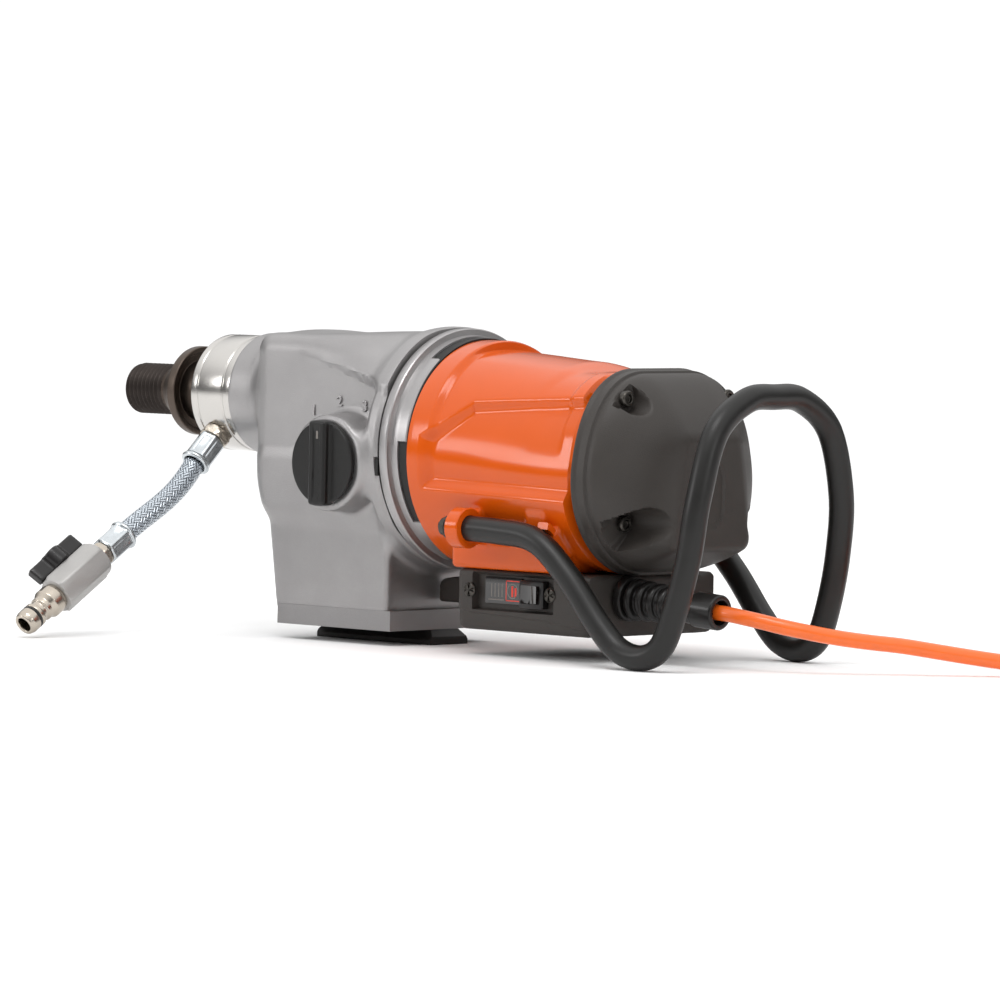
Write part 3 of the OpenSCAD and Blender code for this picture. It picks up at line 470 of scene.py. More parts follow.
class Finish(Sheet):
    """One procedural material."""

    def __init__(self, name, **constants):
        self.material = bpy.data.materials.new(name)
        self.material.use_nodes = True
        super().__init__(self.material.node_tree)
        self.shader = self.tree.nodes["Principled BSDF"]
        self.set(**constants)

    def set(self, **values):
        for key, value in values.items():
            socket = self.shader.inputs[key.replace("_", " ")]
            if isinstance(value, Value):
                self.tree.links.new(value.socket, socket)
            else:
                socket.default_value = value

    def place(self, scale=(1, 1, 1)):
        at = self.node("ShaderNodeTexCoord", out="Object")
        return self.node("ShaderNodeMapping", {}, {"Vector": at, "Scale": scale})

    def axes(self, vector):
        n = self.node("ShaderNodeSeparateXYZ", {}, {"Vector": vector})
        return [Value(self, s) for s in n.socket.node.outputs]

    def along(self):
        """Distance along a tube in metres and share of the way round it."""
        names = {"attribute_name": "along", "attribute_type": "GEOMETRY"}
        return self.axes(self.node("ShaderNodeAttribute", names, out="Vector"))[:2]

    def noise(self, size, detail=3.0, rough=0.55, vector=None):
        """Noise whose lumps are about size metres across."""
        values = {"Vector": vector or self.place(), "Scale": 1 / size, "Detail": detail, "Roughness": rough}
        return self.node("ShaderNodeTexNoise", {}, values)

    def mix(self, factor, a, b):
        n = self.node("ShaderNodeMix", {"data_type": "RGBA"}, {0: factor, 6: a, 7: b})
        return Value(self, n.socket.node.outputs[2])

    def bump(self, height, depth):
        self.set(Normal=self.node("ShaderNodeBump", {},
                                  {"Height": height, "Distance": depth, "Strength": 1.0}))
        return self


def varied(name, colour, rough, metal=0.0, grain=0.0006, depth=0.00006, shade=0.12, patch=0.02, smear=0.08,
           **more):
    """A plain finish with life in it: broad patches shift colour and roughness, a fine grain lifts it."""
    f = Finish(name, Metallic=metal, **more)
    broad = f.noise(patch, 4.0)
    fine = f.noise(grain, 3.0, 0.65)
    dark = tint(colour, 1 - shade)
    light = tint(colour, 1 + shade)
    mark = broad * 0.7 + fine * 0.3
    f.set(**{"Base Color": f.mix(mark.over(0.5, 0.5), dark, light),
             "Roughness": (rough - smear / 2) + mark * smear})
    return f.bump(fine * 0.8 + broad * 0.2, depth).material


def cast_metal(name, colour, rough, depth, metal=0.55):
    """Blasted cast aluminium: fine pits, soft cloudy tone, a few brighter rubbed patches."""
    f = Finish(name, Metallic=metal)
    cloud = f.noise(0.03, 3.0)
    grain = f.noise(0.0005, 2.0, 0.7)
    pits = f.node("ShaderNodeTexVoronoi", {"feature": "F1"}, {"Vector": f.place(), "Scale": 1500.0})
    rub = f.noise(0.006, 5.0).over(0.62, 0.2)
    base = f.mix(cloud.over(0.5, 0.6), tint(colour, 0.9), tint(colour, 1.06))
    f.set(**{"Base Color": f.mix(grain.over(0.5, 0.35) * 0.25, base, tint(colour, 0.72)),
             "Roughness": rough + cloud * 0.06 + grain * 0.08 - rub * 0.05})
    return f.bump(grain * 0.6 + pits * 0.5, depth).material


def machined_metal(name, colour, rough, lines=0.00025, depth=0.00001):
    """Turned metal: rings of tool marks across the drilling axis, which shift roughness and tone."""
    f = Finish(name, Metallic=1.0)
    rings = f.noise(lines, 3.0, 0.7, f.place((1.0, 0.03, 0.03)))
    broad = f.noise(0.012, 3.0)
    f.set(**{"Base Color": f.mix(rings.over(0.5, 0.5), tint(colour, 0.9), colour),
             "Roughness": rough + rings * 0.1 + broad * 0.06 - 0.08})
    return f.bump(rings, depth).material


def plastic(name, colour, rough, grain=0.0007, depth=0.00005, coat=0.0, shade=0.1, gloss=0.35):
    """Moulded plastic: spark-eroded leather grain on matt parts, next to none on gloss ones."""
    f = Finish(name, **{"Metallic": 0.0, "Coat_Weight": coat, "Coat_Roughness": 0.06, "IOR": 1.5,
                        "Specular_IOR_Level": gloss})
    cells = f.node("ShaderNodeTexVoronoi", {"feature": "SMOOTH_F1"},
                   {"Vector": f.place(), "Scale": 1 / grain, "Smoothness": 0.6})
    broad = f.noise(0.025, 3.0)
    fine = f.noise(grain * 0.5, 2.0)
    f.set(**{"Base Color": f.mix(broad.over(0.5, 0.7), tint(colour, 1 - shade), tint(colour, 1 + shade)),
             "Roughness": rough + broad * 0.07 + fine * 0.05 - 0.05})
    return f.bump(cells + fine * 0.4, depth).material


MATERIALS = {}


def make_materials(s):
    """Every finish of the machine, by a plain name."""
    m = MATERIALS
    orange = list(s.housing_colour) + [1]
    grey = list(s.casing_colour) + [1]
    dark = list(s.plastic_colour) + [1]
    m["cast"] = cast_metal("Cast aluminium", tint(grey, 1.12), 0.33, s.grain_depth, 0.82)
    m["ring"] = cast_metal("Flange ring metal", tint(grey, 1.28), 0.27, s.grain_depth * 0.5, 0.8)
    m["plate"] = cast_metal("Spacer metal", tint(grey, 0.92), 0.4, s.grain_depth, 0.7)
    m["collar"] = machined_metal("Turned collar", hexed("c6c3bf"), 0.2)
    m["spindle"] = machined_metal("Blackened spindle", hexed("5a5049"), 0.4, 0.0004, 0.00002)
    m["thread"] = varied("Phosphated thread", hexed("3a3431"), 0.42, 0.85, 0.0004, 0.00003, 0.15)
    m["nickel"] = varied("Nickel brass", hexed("b9b0a4"), 0.24, 1.0, 0.002, 0.00001, 0.06, 0.01, 0.12)
    m["zinc"] = varied("Zinc sleeve", hexed("c3c8cb"), 0.24, 1.0, 0.0015, 0.00002, 0.12, 0.004, 0.16)
    m["valve"] = cast_metal("Satin valve metal", hexed("aeacaa"), 0.42, 0.00005, 0.6)
    m["orange"] = plastic("Gloss orange plastic", orange, 0.17, 0.003, 0.000006, 0.12, 0.035, 0.32)
    m["dark"] = plastic("Dark grained plastic", dark, 0.47, 0.0006, 0.00006)
    m["box"] = plastic("Switch box plastic", tint(dark, 1.12), 0.5, 0.0005, 0.00005)
    m["knob"] = plastic("Knob plastic", hexed("0e0d0c"), 0.34, 0.0005, 0.00004)
    m["lever"] = plastic("Lever plastic", hexed("171515"), 0.3, 0.0006, 0.00003, 0.15)
    m["gland"] = plastic("Cord guard rubber", hexed("181615"), 0.34, 0.0005, 0.00003, 0.1)
    m["tube"] = rubber("Handle rubber", hexed("151413"))
    m["wedge"] = varied("Blackened wedge", hexed("22201f"), 0.42, 0.5, 0.0006, 0.00005, 0.2)
    m["gloss"] = varied("Gloss black window", hexed("120d0c"), 0.08, 0.0, 0.004, 0.000002, 0.2,
                        Coat_Weight=0.6)
    # Near black for the painted shade behind the flange gaps, in the seam and in the casing slot
    m["black"] = varied("Painted gap shade", hexed("0e0d0c"), 0.6, 0.0, 0.001, 0.00003, 0.2)
    m["cord"] = cord_finish("Cord sheath", list(s.cord_colour) + [1])
    m["pins"] = machined_metal("Plug pins", hexed("d2cdc2"), 0.18)
    m["red"] = varied("Red mark", hexed("d8331f"), 0.35, 0.0, 0.001, 0.000004, 0.06)
    m["pale"] = varied("Pale mark", hexed("6f6964"), 0.4, 0.0, 0.001, 0.000004, 0.08)
    m["steel"] = machined_metal("Bright steel", hexed("c9c7c3"), 0.2)
    m["gear"] = varied("Gear steel", hexed("8b8680"), 0.3, 1.0, 0.0006, 0.00002, 0.1)
    m["copper"] = varied("Enamelled copper", hexed("b8642a"), 0.28, 0.9, 0.0008, 0.0001, 0.15)
    m["brass"] = varied("Brass", hexed("c9a24a"), 0.26, 1.0, 0.001, 0.00002, 0.08)
    m["carbon"] = varied("Carbon", hexed("2b2b2d"), 0.6, 0.2, 0.0003, 0.00005, 0.2)
    m["board"] = varied("Circuit board", hexed("1f5c3a"), 0.4, 0.0, 0.002, 0.00003, 0.2)
    m["laminate"] = machined_metal("Electrical steel", hexed("7a7977"), 0.36, 0.0006, 0.00005)
    m["bolt"] = varied("Dark bolt", hexed("4a4743"), 0.34, 0.9, 0.0008, 0.00003, 0.12)
    m["ring_seal"] = varied("Seal rubber", hexed("151413"), 0.38, 0.0, 0.0008, 0.00002, 0.15)
    m["tie"] = varied("Cord tie", hexed("242220"), 0.5, 0.0, 0.0008, 0.0001, 0.15)
    m["braid"] = braid_finish("Steel braid")
    m["sleeve"] = sleeve_finish("Clear hose sleeve")


def rubber(name, colour):
    """Soft satin rubber on the handle: faint lengthwise streaks and a dusty bloom."""
    f = Finish(name, **{"Metallic": 0.0, "Specular_IOR_Level": 0.4, "IOR": 1.48})
    bloom = f.noise(0.012, 5.0)
    fine = f.noise(0.0004, 2.0)
    f.set(**{"Base Color": f.mix(bloom.over(0.55, 0.5), colour, tint(colour, 1.35)),
             "Roughness": 0.3 + bloom * 0.1 + fine * 0.06})
    return f.bump(fine + bloom * 0.5, 0.00003).material


def cord_finish(name, colour):
    """Extruded cord sheath: gloss, with a faint lay of the cores under it along the cord."""
    f = Finish(name, **{"Metallic": 0.0, "Coat_Weight": 0.3, "Coat_Roughness": 0.15, "IOR": 1.5})
    x, y = f.along()
    lay = (x * 190.0 + y * 6.2832 * 3).math("SINE")
    broad = f.noise(0.01, 4.0)
    f.set(**{"Base Color": f.mix(broad.over(0.5, 0.6), tint(colour, 0.93), tint(colour, 1.05)),
             "Roughness": 0.26 + broad * 0.1})
    return f.bump(lay * 0.5 + broad * 0.3, 0.00006).material


def braid_finish(name):
    """Steel wire braid: two families of slanting ribbons, one over the other by turns; painted shade turns the low
    edges of the wires near black.
    """
    f = Finish(name, Metallic=1.0)
    x, y = f.along()
    u, v = x * 160.0 + y * 9.0, x * 160.0 - y * 9.0
    a, b = (u * 6.2832).math("SINE"), (v * 6.2832).math("SINE")
    over = (u * 3.1416).math("SINE") * (v * 3.1416).math("SINE")
    wires = ((u * 6.2832 * 4).math("SINE") * over.over(0, 0.1)
             + (v * 6.2832 * 4).math("SINE") * (1 - over.over(0, 0.1)))
    height = a.math("ABSOLUTE") * over.over(0, 0.2) + b.math("ABSOLUTE") * (1 - over.over(0, 0.2))
    # Painted shade: the colour goes near black where the wire height dips, at the edges between the wires.
    gap = height.over(0.5, 0.35)
    f.set(**{"Base Color": f.mix(gap, hexed("15181b"), hexed("d3dae0")), "Roughness": 0.34 - gap * 0.1})
    return f.bump(height + wires * 0.12, 0.0004).material


def sleeve_finish(name):
    """Thin clear bluish sleeve: gloss over the braid, mostly see-through."""
    f = Finish(name, **{"Metallic": 0.0, "Coat_Weight": 0.15, "Coat_Roughness": 0.04, "IOR": 1.3})
    cloud = f.noise(0.006, 3.0)
    f.set(**{"Base Color": f.mix(cloud, hexed("b9c6d6"), hexed("cfd9e4")), "Roughness": 0.08 + cloud * 0.06,
             "Alpha": 0.1 + cloud * 0.08})
    f.material.surface_render_method = "BLENDED"
    return f.bump(cloud, 0.00002).material


# ---- the pieces ----


def settings():
    return bpy.context.scene.core_drill


def text_piece(name, words, size, depth, matrix, place, material, body="root"):
    """Raised figures: each is made a mesh first, then put in place by its matrix."""
    curve = bpy.data.curves.new(name, "FONT")
    curve.body, curve.size, curve.extrude, curve.align_x, curve.align_y = words, size, depth, "CENTER", "CENTER"
    curve.bevel_depth, curve.bevel_resolution = depth * 0.3, 1
    holder = bpy.data.objects.new(name + "_curve", curve)
    bpy.context.scene.collection.objects.link(holder)
    mesh = bpy.data.meshes.new_from_object(holder)
    bpy.data.objects.remove(holder)
    mesh.name = name
    points = np.zeros(len(mesh.vertices) * 3)
    mesh.vertices.foreach_get("co", points)
    mesh.vertices.foreach_set("co", (moved(points.reshape(-1, 3), matrix, place) * 0.001).ravel())
    mesh.materials.clear()
    mesh.materials.append(material)
    piece = bpy.data.objects.new(name, mesh)
    bpy.context.scene.collection.objects.link(piece)
    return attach(piece, body)


# Lens in millimetres, yaw, pitch and roll in degrees, and the camera's place in metres
LENS = 243.216
CAMERA_TURN = (-46.99, 2.58, 1.11)
CAMERA_AT = (-2.8463, 2.953, 0.271)


class DRILL_OT_camera(bpy.types.Operator):
    """Long-lens camera from behind and to the left of the machine, a little above its base"""

    bl_idname = "core_drill.camera"
    bl_label = "Camera"

    def execute(self, context):
        data = bpy.data.cameras.new("camera")
        data.lens, data.sensor_width = LENS, 36
        data.clip_start, data.clip_end = 0.1, 50
        eye = bpy.data.objects.new("camera", data)
        context.scene.collection.objects.link(eye)
        yaw, pitch, roll = (math.radians(turn) for turn in CAMERA_TURN)
        d = np.array([math.cos(pitch) * math.cos(yaw), math.cos(pitch) * math.sin(yaw), -math.sin(pitch)])
        r = np.cross(d, [0, 0, 1])
        r /= np.linalg.norm(r)
        u = np.cross(r, d)
        right = math.cos(roll) * r + math.sin(roll) * u
        up = -math.sin(roll) * r + math.cos(roll) * u
        m = np.eye(4)
        m[:3, 0], m[:3, 1], m[:3, 2], m[:3, 3] = right, up, -d, CAMERA_AT
        eye.matrix_world = Matrix(m.tolist())
        context.scene.camera = eye
        return {"FINISHED"}


CORD_POINTS = [[-280, 22.2, 33.5], [-288, 22, 33], [-296, 21.5, 32.3], [-305, 20, 31], [-315, 17, 29.3],
               [-326, 11.5, 26.8], [-338, 2.5, 24], [-350, -9, 21.2], [-362, -22, 19], [-375, -37, 17],
               [-388, -51, 14.2], [-400, -64, 11.6], [-412, -77, 9.2], [-425, -91, 7.2],
               [-438, -104.5, 5.7], [-450, -117, 4.9], [-462, -129, 4.6]]
COIL = (-425.0, -187.5)
TAIL_POINTS = [[20.3, -35.1, 23.5], [31.4, -26.4, 26], [38.8, -14.1, 29], [41.8, 0, 32], [39.9, 14.5, 34.5],
               [32.6, 27.4, 36.5], [21.8, 37.7, 38], [11.6, 43.3, 38.8], [2, 45, 39]]
CORD_R = 4.5
CORD_STEP = 4.0
CORD_COLS = 14
COIL_TURNS = 11.46
COIL_MEAN_R = 54
PLUG_Z = 39


def cord_route():
    """Lead, coil and tail as one line: a column further each turn, a layer up every four turns."""
    lead = np.array(CORD_POINTS, float)
    s = np.linspace(0, COIL_TURNS, int(COIL_TURNS * 40) + 1)
    inward = COIL_MEAN_R + 2 * CORD_R * np.array([1.5, 0.5, -0.5, -1.5])
    radii = np.concatenate([inward, inward[::-1], inward, inward[-1:]])
    heights = np.repeat([4.6, 4.5, 13.5, 22.5], [1, 3, 4, 5])
    whole = np.minimum(np.floor(s), 11).astype(int)
    step = ramp(s - whole, 0.86, 1.0)
    r = radii[whole] * (1 - step) + radii[whole + 1] * step
    z = heights[whole] * (1 - step) + heights[whole + 1] * step
    a = math.radians(134.5) + s * 2 * math.pi
    coil = np.stack([COIL[0] + r * np.cos(a), COIL[1] + r * np.sin(a), z], 1)
    tail = np.array(TAIL_POINTS, float) + [*COIL, 0]
    start = smooth_path(np.concatenate([lead, coil[1:2]]), 4)
    end = smooth_path(np.concatenate([coil[-2:-1], tail]), 4)
    return even_path(np.concatenate([start[:-1], coil[1:-1], end[1:]]), CORD_STEP)


class DRILL_OT_cord(bpy.types.Operator):
    """Mains cord: out of its guard, down to the floor and into a coil with its tie and plug"""

    bl_idname = "core_drill.cord"
    bl_label = "Mains cord"

    def execute(self, context):
        m = MATERIALS
        route = cord_route()
        tube = carried(route, CORD_R, CORD_COLS)
        along = tube_places(np.arange(len(route)) * CORD_STEP, CORD_COLS)
        cord = put("mains_cord", [capped(tube)], m["cord"], replaces=("power_cord", "cord_coil", "cord_tail"),
                   sharp=0, attribute=along)
        # Tie: a flat band round the four by three turns at one side of the coil
        a = angles(48)
        wide, tall = 19.6, 14.6
        u, v = (np.sign(w) * np.abs(w) ** 0.35 for w in (np.cos(a), np.sin(a)))
        rows = [(0, -5), (0.9, -4.6), (0.9, 4.6), (0, 5), (-0.3, 4.6), (-0.3, -4.6)]
        band = np.stack([np.stack([COIL_MEAN_R + u * wide * (1 + o / wide), np.full(48, w),
                                   np.maximum(13.6 + v * tall * (1 + o / tall), 0.2 + max(o, 0) * 0.1)], -1)
                         for o, w in rows])
        tie = put("cord_tie", placed([looped(band)], about_z(-100), (*COIL, 0)), m["tie"])
        # Plug: ribbed tail, round waist, body with a grip and a rim
        s = np.linspace(0, 1, 60)
        z = -2 + s * 54
        body = ramp(z, 13, 22)
        half = 6.0 * body
        r = 5.9 + 3.0 * ramp(z, -2, 12) + 2.7 * body - 1.2 * ramp(z, 24, 30) * (1 - ramp(z, 38, 42))
        r = r - 0.5 * (np.sin(z * 2 * math.pi / 3.2) > 0.2) * (z < 12)
        r[-1] -= 1.2
        r[0] -= 0.8
        c = angles(64)
        grid = polar(np.broadcast_to(r[:, None], (60, 64)), c, z[:, None])
        grid[:, :, 1] += half[:, None] * np.clip(np.sin(c) * 4, -1, 1)
        plug = put("mains_plug", placed([capped(grid)], BACKWARD, (COIL[0], COIL[1] + 45, PLUG_Z)),
                   m["gland"], replaces=("plug_body",))
        pin = turned(rounded([[0, 0], [2.35, 0], [2.35, 17.6], [1.3, 19], [0, 19]], 0.5), 24)
        both = [part for y in (54.5, 35.5)
                for part in placed([capped(pin[1:-1])], BACKWARD, (COIL[0] - 52, COIL[1] + y, PLUG_Z))]
        pins = put("plug_contacts", both, m["pins"], replaces=("plug_pins",))
        # Cord guard: flange, five deep ribs that shrink along it, and a smooth end sleeve, bored at the end
        start, end = np.array([-217, 24, 38.0]), np.array([-288, 22, 33.0])
        d = end - start
        long = np.linalg.norm(d)
        d /= long
        prof = [[0, -7.5], [8.6, -7.5], [8.6, 0], [13.5, 0], [13.5, 4.4], [12.8, 5], [8.8, 5.2]]
        for i in range(5):
            q, w = 6.5 + 8 * i, 12.4 - 0.5 * i
            prof += [[8.7, q - 0.2], [w - 0.9, q + 0.1], [w, q + 1.1], [w, q + 3.3], [w - 0.9, q + 4.5],
                     [8.7, q + 4.9]]
        prof += [[9.2, long - 18.4], [10.4, long - 17.4], [10.4, long - 1], [9.8, long], [7.4, long],
                 [7.2, long - 1], [7.2, long - 7.5], [0, long - 7.5]]
        guard = turned(rounded(prof, 0.7, 3), 72)
        x = np.array([0, 1.0, 0]) - d * d[1]
        x /= np.linalg.norm(x)
        axes = np.stack([x, np.cross(d, x), d], 1)
        gland = put("cord_guard", placed([capped(guard[1:-1])], axes, start), m["gland"],
                    replaces=("cable_gland",))
        return {"FINISHED"}


def hose_line():
    """Cubic Bezier curve from the first sleeve to the second."""
    c, s = math.cos(math.radians(PORT_ANGLE)), math.sin(math.radians(PORT_ANGLE))
    r = NUT_R0 + NUT_H + FERRULE
    a = np.array([PORT_X, r * c, SPINDLE_Z + r * s])
    b = a + 28 * np.array([0, math.cos(math.radians(PORT_ANGLE - 8)), math.sin(math.radians(PORT_ANGLE - 8))])
    e = np.array([PORT_X, *LINE_START])
    f = e - 28 * np.array([0, math.cos(math.radians(LINE_ANGLE)), math.sin(math.radians(LINE_ANGLE))])
    t = np.linspace(0, 1, 61)[:, None]
    return (1 - t) ** 3 * a + 3 * t * (1 - t) ** 2 * b + 3 * t * t * (1 - t) * f + t**3 * e


def crimped_sleeve():
    """Six-sided crimp sleeve with a sunk flat on each side, a bead at its hose end and an open bore."""
    z = np.array([0.2, 0.3, 1.2, 2.6, 3.4, 4.4, 10, 15.2, 16.2, 17.2, 17.6, 17.7, 18.1, 19.2, 20.3, 20.8,
                  20.8, 19.5, 1.0, 0.2])
    a = angles(96)
    b = (a + math.pi / 6) % (math.pi / 3) - math.pi / 6
    hexa = np.minimum(8.2 / np.cos(b), 9.1)
    flat = (1 - ramp(np.abs(b), 0.24, 0.34))[None] * (ramp(z, 2.6, 3.6) * (1 - ramp(z, 15, 16.6)))[:, None]
    r = hexa[None] - 0.55 * flat
    rim = np.array([7.4, 7.8, 9, 20, 20, 20, 20, 20, 20, 20, 9.0, 8.6, 9.2, 9.6, 9.2, 8.6, 7.3, 7.1, 7.1,
                    7.1])
    r = np.minimum(r, rim[:, None])
    r[10:16] = rim[10:16, None]
    return polar(r, a, z[:, None])


class DRILL_OT_water_line(bpy.types.Operator):
    """Water line: union nut, crimped sleeves, braided hose, valve with its lever, coupling nipple"""

    bl_idname = "core_drill.water_line"
    bl_label = "Water line"

    def execute(self, context):
        m = MATERIALS
        out, line = port_frame(PORT_ANGLE), port_frame(LINE_ANGLE)
        at, on = (PORT_X, 0, SPINDLE_Z), (PORT_X, *LINE_START)
        path = hose_line()
        tubes = (("hose_braid", 6.4, "braid", 40, ("hose",), "braided_hose"),
                 ("hose_sleeve", HOSE_R, "sleeve", 48, (), None))
        for name, radius, key, cols, nodes, slot in tubes:
            tube = carried(path, radius, cols, (1, 0, 0))
            put(name, [capped(tube)], m[key], replaces=nodes, sharp=0,
                attribute=tube_places(distances(path), cols))
        crimp = crimped_sleeve()
        flip = np.diag([1.0, 1.0, -1.0])
        far = placed([looped(crimp)], flip, (0, 0, FERRULE))
        put("hose_crimps", placed([looped(crimp + [0, 0, NUT_R0 + NUT_H])], out, at) + placed(far, line, on),
            m["zinc"], replaces=("hose_ferrules",))
        nut = [capped(hexagon(17, NUT_R0 + 0.1, NUT_R0 + NUT_H)),
               capped(turned([[6.5, 22.7], [6.5, NUT_R0 + 0.2]], 48))]
        put("union_nut", placed(nut, out, at), m["nickel"], replaces=("water_nipple",))
        body = hexagon(22, VALVE_AT, VALVE_AT + VALVE_LEN, math.radians(LEVER_TURN), 1.4)
        neck = hexagon(15, FERRULE + 0.1, VALVE_AT)
        ball = [capped(body), capped(turned([[9.4, VALVE_AT - 0.6], [10, VALVE_AT + 0.3]], 48))]
        put("valve_block", placed(ball, line, on), m["valve"], replaces=("valve_body",))
        put("valve_nut", placed([capped(neck)], line, on), m["nickel"])
        prof = [[4.5, 6], [4.5, 0.1], [8.6, 0.1], [9.4, 3], [9.4, 9], [7.6, 12], [7.6, 15], [6.4, 15.6],
                [6.4, 18.4], [7.6, 19], [7.6, 21.6],
                [6.1, 21.6], [6.1, 23.4], [7.6, 23.4], [7.6, 28], [6.6, 31], [4.9, 31], [4.5, 30.2], [4.5, 6]]
        nipple = looped(turned(rounded(prof, 0.5, 3), 72)[:-1])
        tip = placed([nipple], line, np.array(on) + line @ [0, 0, VALVE_AT + VALVE_LEN])
        put("coupling_end", tip, m["nickel"], replaces=("coupling_nipple",), sharp=50)
        # Lever: round hub and two wings that step up from it, ridged at their ends
        field = lambda p: merge(meet(np.hypot(p[:, 0], p[:, 1]) - 7.5, slab(p[:, 2], 0, 11), 1.2),
                                meet(brick(p, (-20, -2.9, 0.2), (20, 2.9, 11), 1.2),
                                     -(np.hypot(p[:, 0], p[:, 2] - 15.5) - 6.2), 1.0), 1.6)
        wings = shell(lambda p: field(p[:, [1, 2, 0]]),
                      stations((0, 0, -88, 14), (0.4, 0, -60, 30), (5, 0, 0, 26), (10.4, 0, 60, 14),
                               (10.6, 0, 88, 1)), 140,
                      lambda a: 1 + 1.5 * np.exp(-(np.sin(a) / 0.4) ** 2))
        wings = placed([capped(wings[:, :, [1, 2, 0]])], ALONG_X, (11.5, 0, VALVE_AT + VALVE_LEN / 2))
        put("lever_wings", placed(wings, line @ about_z(LEVER_TURN), on), m["lever"], "valve_lever",
            ("valve_lever",))
        return {"FINISHED"}


class DRILL_OT_spindle(bpy.types.Operator):
    """Threaded spindle with its run-out groove and stop flange"""

    bl_idname = "core_drill.spindle"
    bl_label = "Spindle"

    def execute(self, context):
        pitch = settings().thread_pitch * 1000
        # Thread: radius falls from the crest by a rounded vee whose phase is height over pitch plus turn
        z = np.linspace(186.6, 218.7, 230)
        a = angles(96)
        phase = (z[:, None] / pitch - a[None] / (2 * math.pi)) % 1.0
        vee = np.clip(np.abs(phase - 0.5) * 2.6 - 0.25, 0, 1)
        r = 15.87 - 1.75 * (1 - vee)
        limit = np.minimum(13.5 + (218.75 - z) * 1.1, 14.3 + np.maximum(z - 186.7, 0) * 0.9)
        r = np.minimum(r, limit[:, None])
        thread = polar(r, a, z[:, None])
        bore = turned([[5.9, 218.6], [5.3, 218.0], [5.3, 200]], 96)
        front = np.concatenate([turned([[14.3, 184]], 96), thread,
                                turned([[13.2, 218.72], [6.4, 218.72]], 96), bore])
        put("spindle_thread", placed([capped(front)], ALONG_X, (0, 0, SPINDLE_Z)), MATERIALS["thread"],
            "spindle", sharp=60)
        prof = [[13, 150], [19, 150], [19, 164.8], [24.2, 165], [24.3, 161.6], [24.8, 161.2], [27.2, 161.2],
                [27.7, 161.8], [27.7, 167.2], [27.0, 168],
                [25.4, 168.1], [24.8, 168.6], [22.2, 173.6], [21.4, 174], [18.4, 177.2], [16.2, 182.6],
                [14.3, 183.1], [14.3, 187.2], [10, 187.2]]
        body = turned(rounded(prof, 0.5, 3), 128)
        put("spindle_flange", placed([capped(body)], ALONG_X, (0, 0, SPINDLE_Z)), MATERIALS["spindle"],
            "spindle", ("spindle",), 50)
        return {"FINISHED"}


class DRILL_OT_collar(bpy.types.Operator):
    """Water collar: a bright turned sleeve with shallow bands"""

    bl_idname = "core_drill.collar"
    bl_label = "Water collar"

    def execute(self, context):
        prof = [[17.6, 104.2], [33, 103.9], [35.2, 103.9], [35.9, 104.6], [35.9, 109.8], [35.2, 110.3],
                [35.2, 111.1], [35.9, 111.6], [35.9, 131.4], [35.3, 131.9],
                [35.3, 132.6], [35.9, 133.1], [35.9, 137.2], [35.0, 138.5], [30.4, 138.7], [29.6, 138],
                [28.8, 134.6], [17.8, 134.4], [17.4, 134], [17.4, 104.6]]
        body = turned(rounded(prof, 0.35, 3), 160)
        put("collar_sleeve", placed([looped(body[:-1])], ALONG_X, (0, 0, SPINDLE_Z)), MATERIALS["collar"],
            "root", ("water_collar",), 40)
        return {"FINISHED"}


# ---- gear casing ----


# Casing: half width, front of the block, top, radius of the ring,
# radius and end of the spindle boss, face under the knob
CASING_HALF = 53
CASING_NOSE_X = 71
CASING_TOP = 187.5
RING_R = 72.3
BOSS_R = 37.7
COLLAR_X = 103.9
KNOB_SEAT_Y = 75.2


def casing_field(p):
    """Block with a rounded nose that widens rearwards into the ring, a pedestal and two round bosses."""
    x, y, z = p[:, 0], p[:, 1], p[:, 2]
    ay = np.abs(y)
    from_axis = np.hypot(y, z - MOTOR_Z)
    block = meet(meet(ay - CASING_HALF, x - CASING_NOSE_X, 17), z - CASING_TOP, 14)
    block = meet(block, 0.8436 * (x - 57) - 0.5368 * (z - 78), 6)
    block = meet(block, 74 - z, 9)
    # Widening: above a crease that drops rearwards, the section slides from the block to the circle of the ring
    t = np.clip((27 - x) / 72, 0, 1)
    back = np.clip(27 - x, 0, 80)
    lower = 170.4 - 0.14 * back - 0.0020 * back**2
    upper = 171.6 - 0.055 * back - 0.0012 * back**2
    circle = from_axis - RING_R
    flare = block * (1 - t) + circle * t - 2.6 * np.sin(np.pi * t)
    w = ramp(z, lower, upper) * ramp(x, 29, 24)
    body = block * (1 - w) + flare * w
    body = meet(body, z - 187.6 - 3.2 * t, 6)
    pedestal = meet(meet(meet(ay - 46.8 - (z - 21) / 26, -44 - (z - 21) / 30 - x, 4), x - 51 - (z - 21) * 0.1,
                         4), z - 110, 2)
    pedestal = meet(pedestal, 19.3 - z, 0.1)
    body = merge(body, pedestal, 9)
    boss = meet(np.hypot(y, z - SPINDLE_Z) - BOSS_R, slab(x, 50, COLLAR_X), 1.6)
    body = meet(merge(body, boss, 15), z - 187.7 - 3.4 * t, 5)
    knob = meet(np.hypot(x - KNOB[0], z - KNOB[2]) - 29.5 - (61 - y) * 0.04, np.maximum(-y, y - KNOB_SEAT_Y),
                2.2)
    body = merge(body, knob, 4)
    band = meet(from_axis - 72.5, slab(x, SEAM_X, -45.5), 5)
    body = merge(body, band, 9)
    slot = np.maximum.reduce([np.abs(x + 56.8) - 1.3, np.abs(z - 108.5) - 5.4, 69.8 - y])
    body = meet(body, -slot, 0.3)
    return meet(body, SEAM_X - x, 1.2)


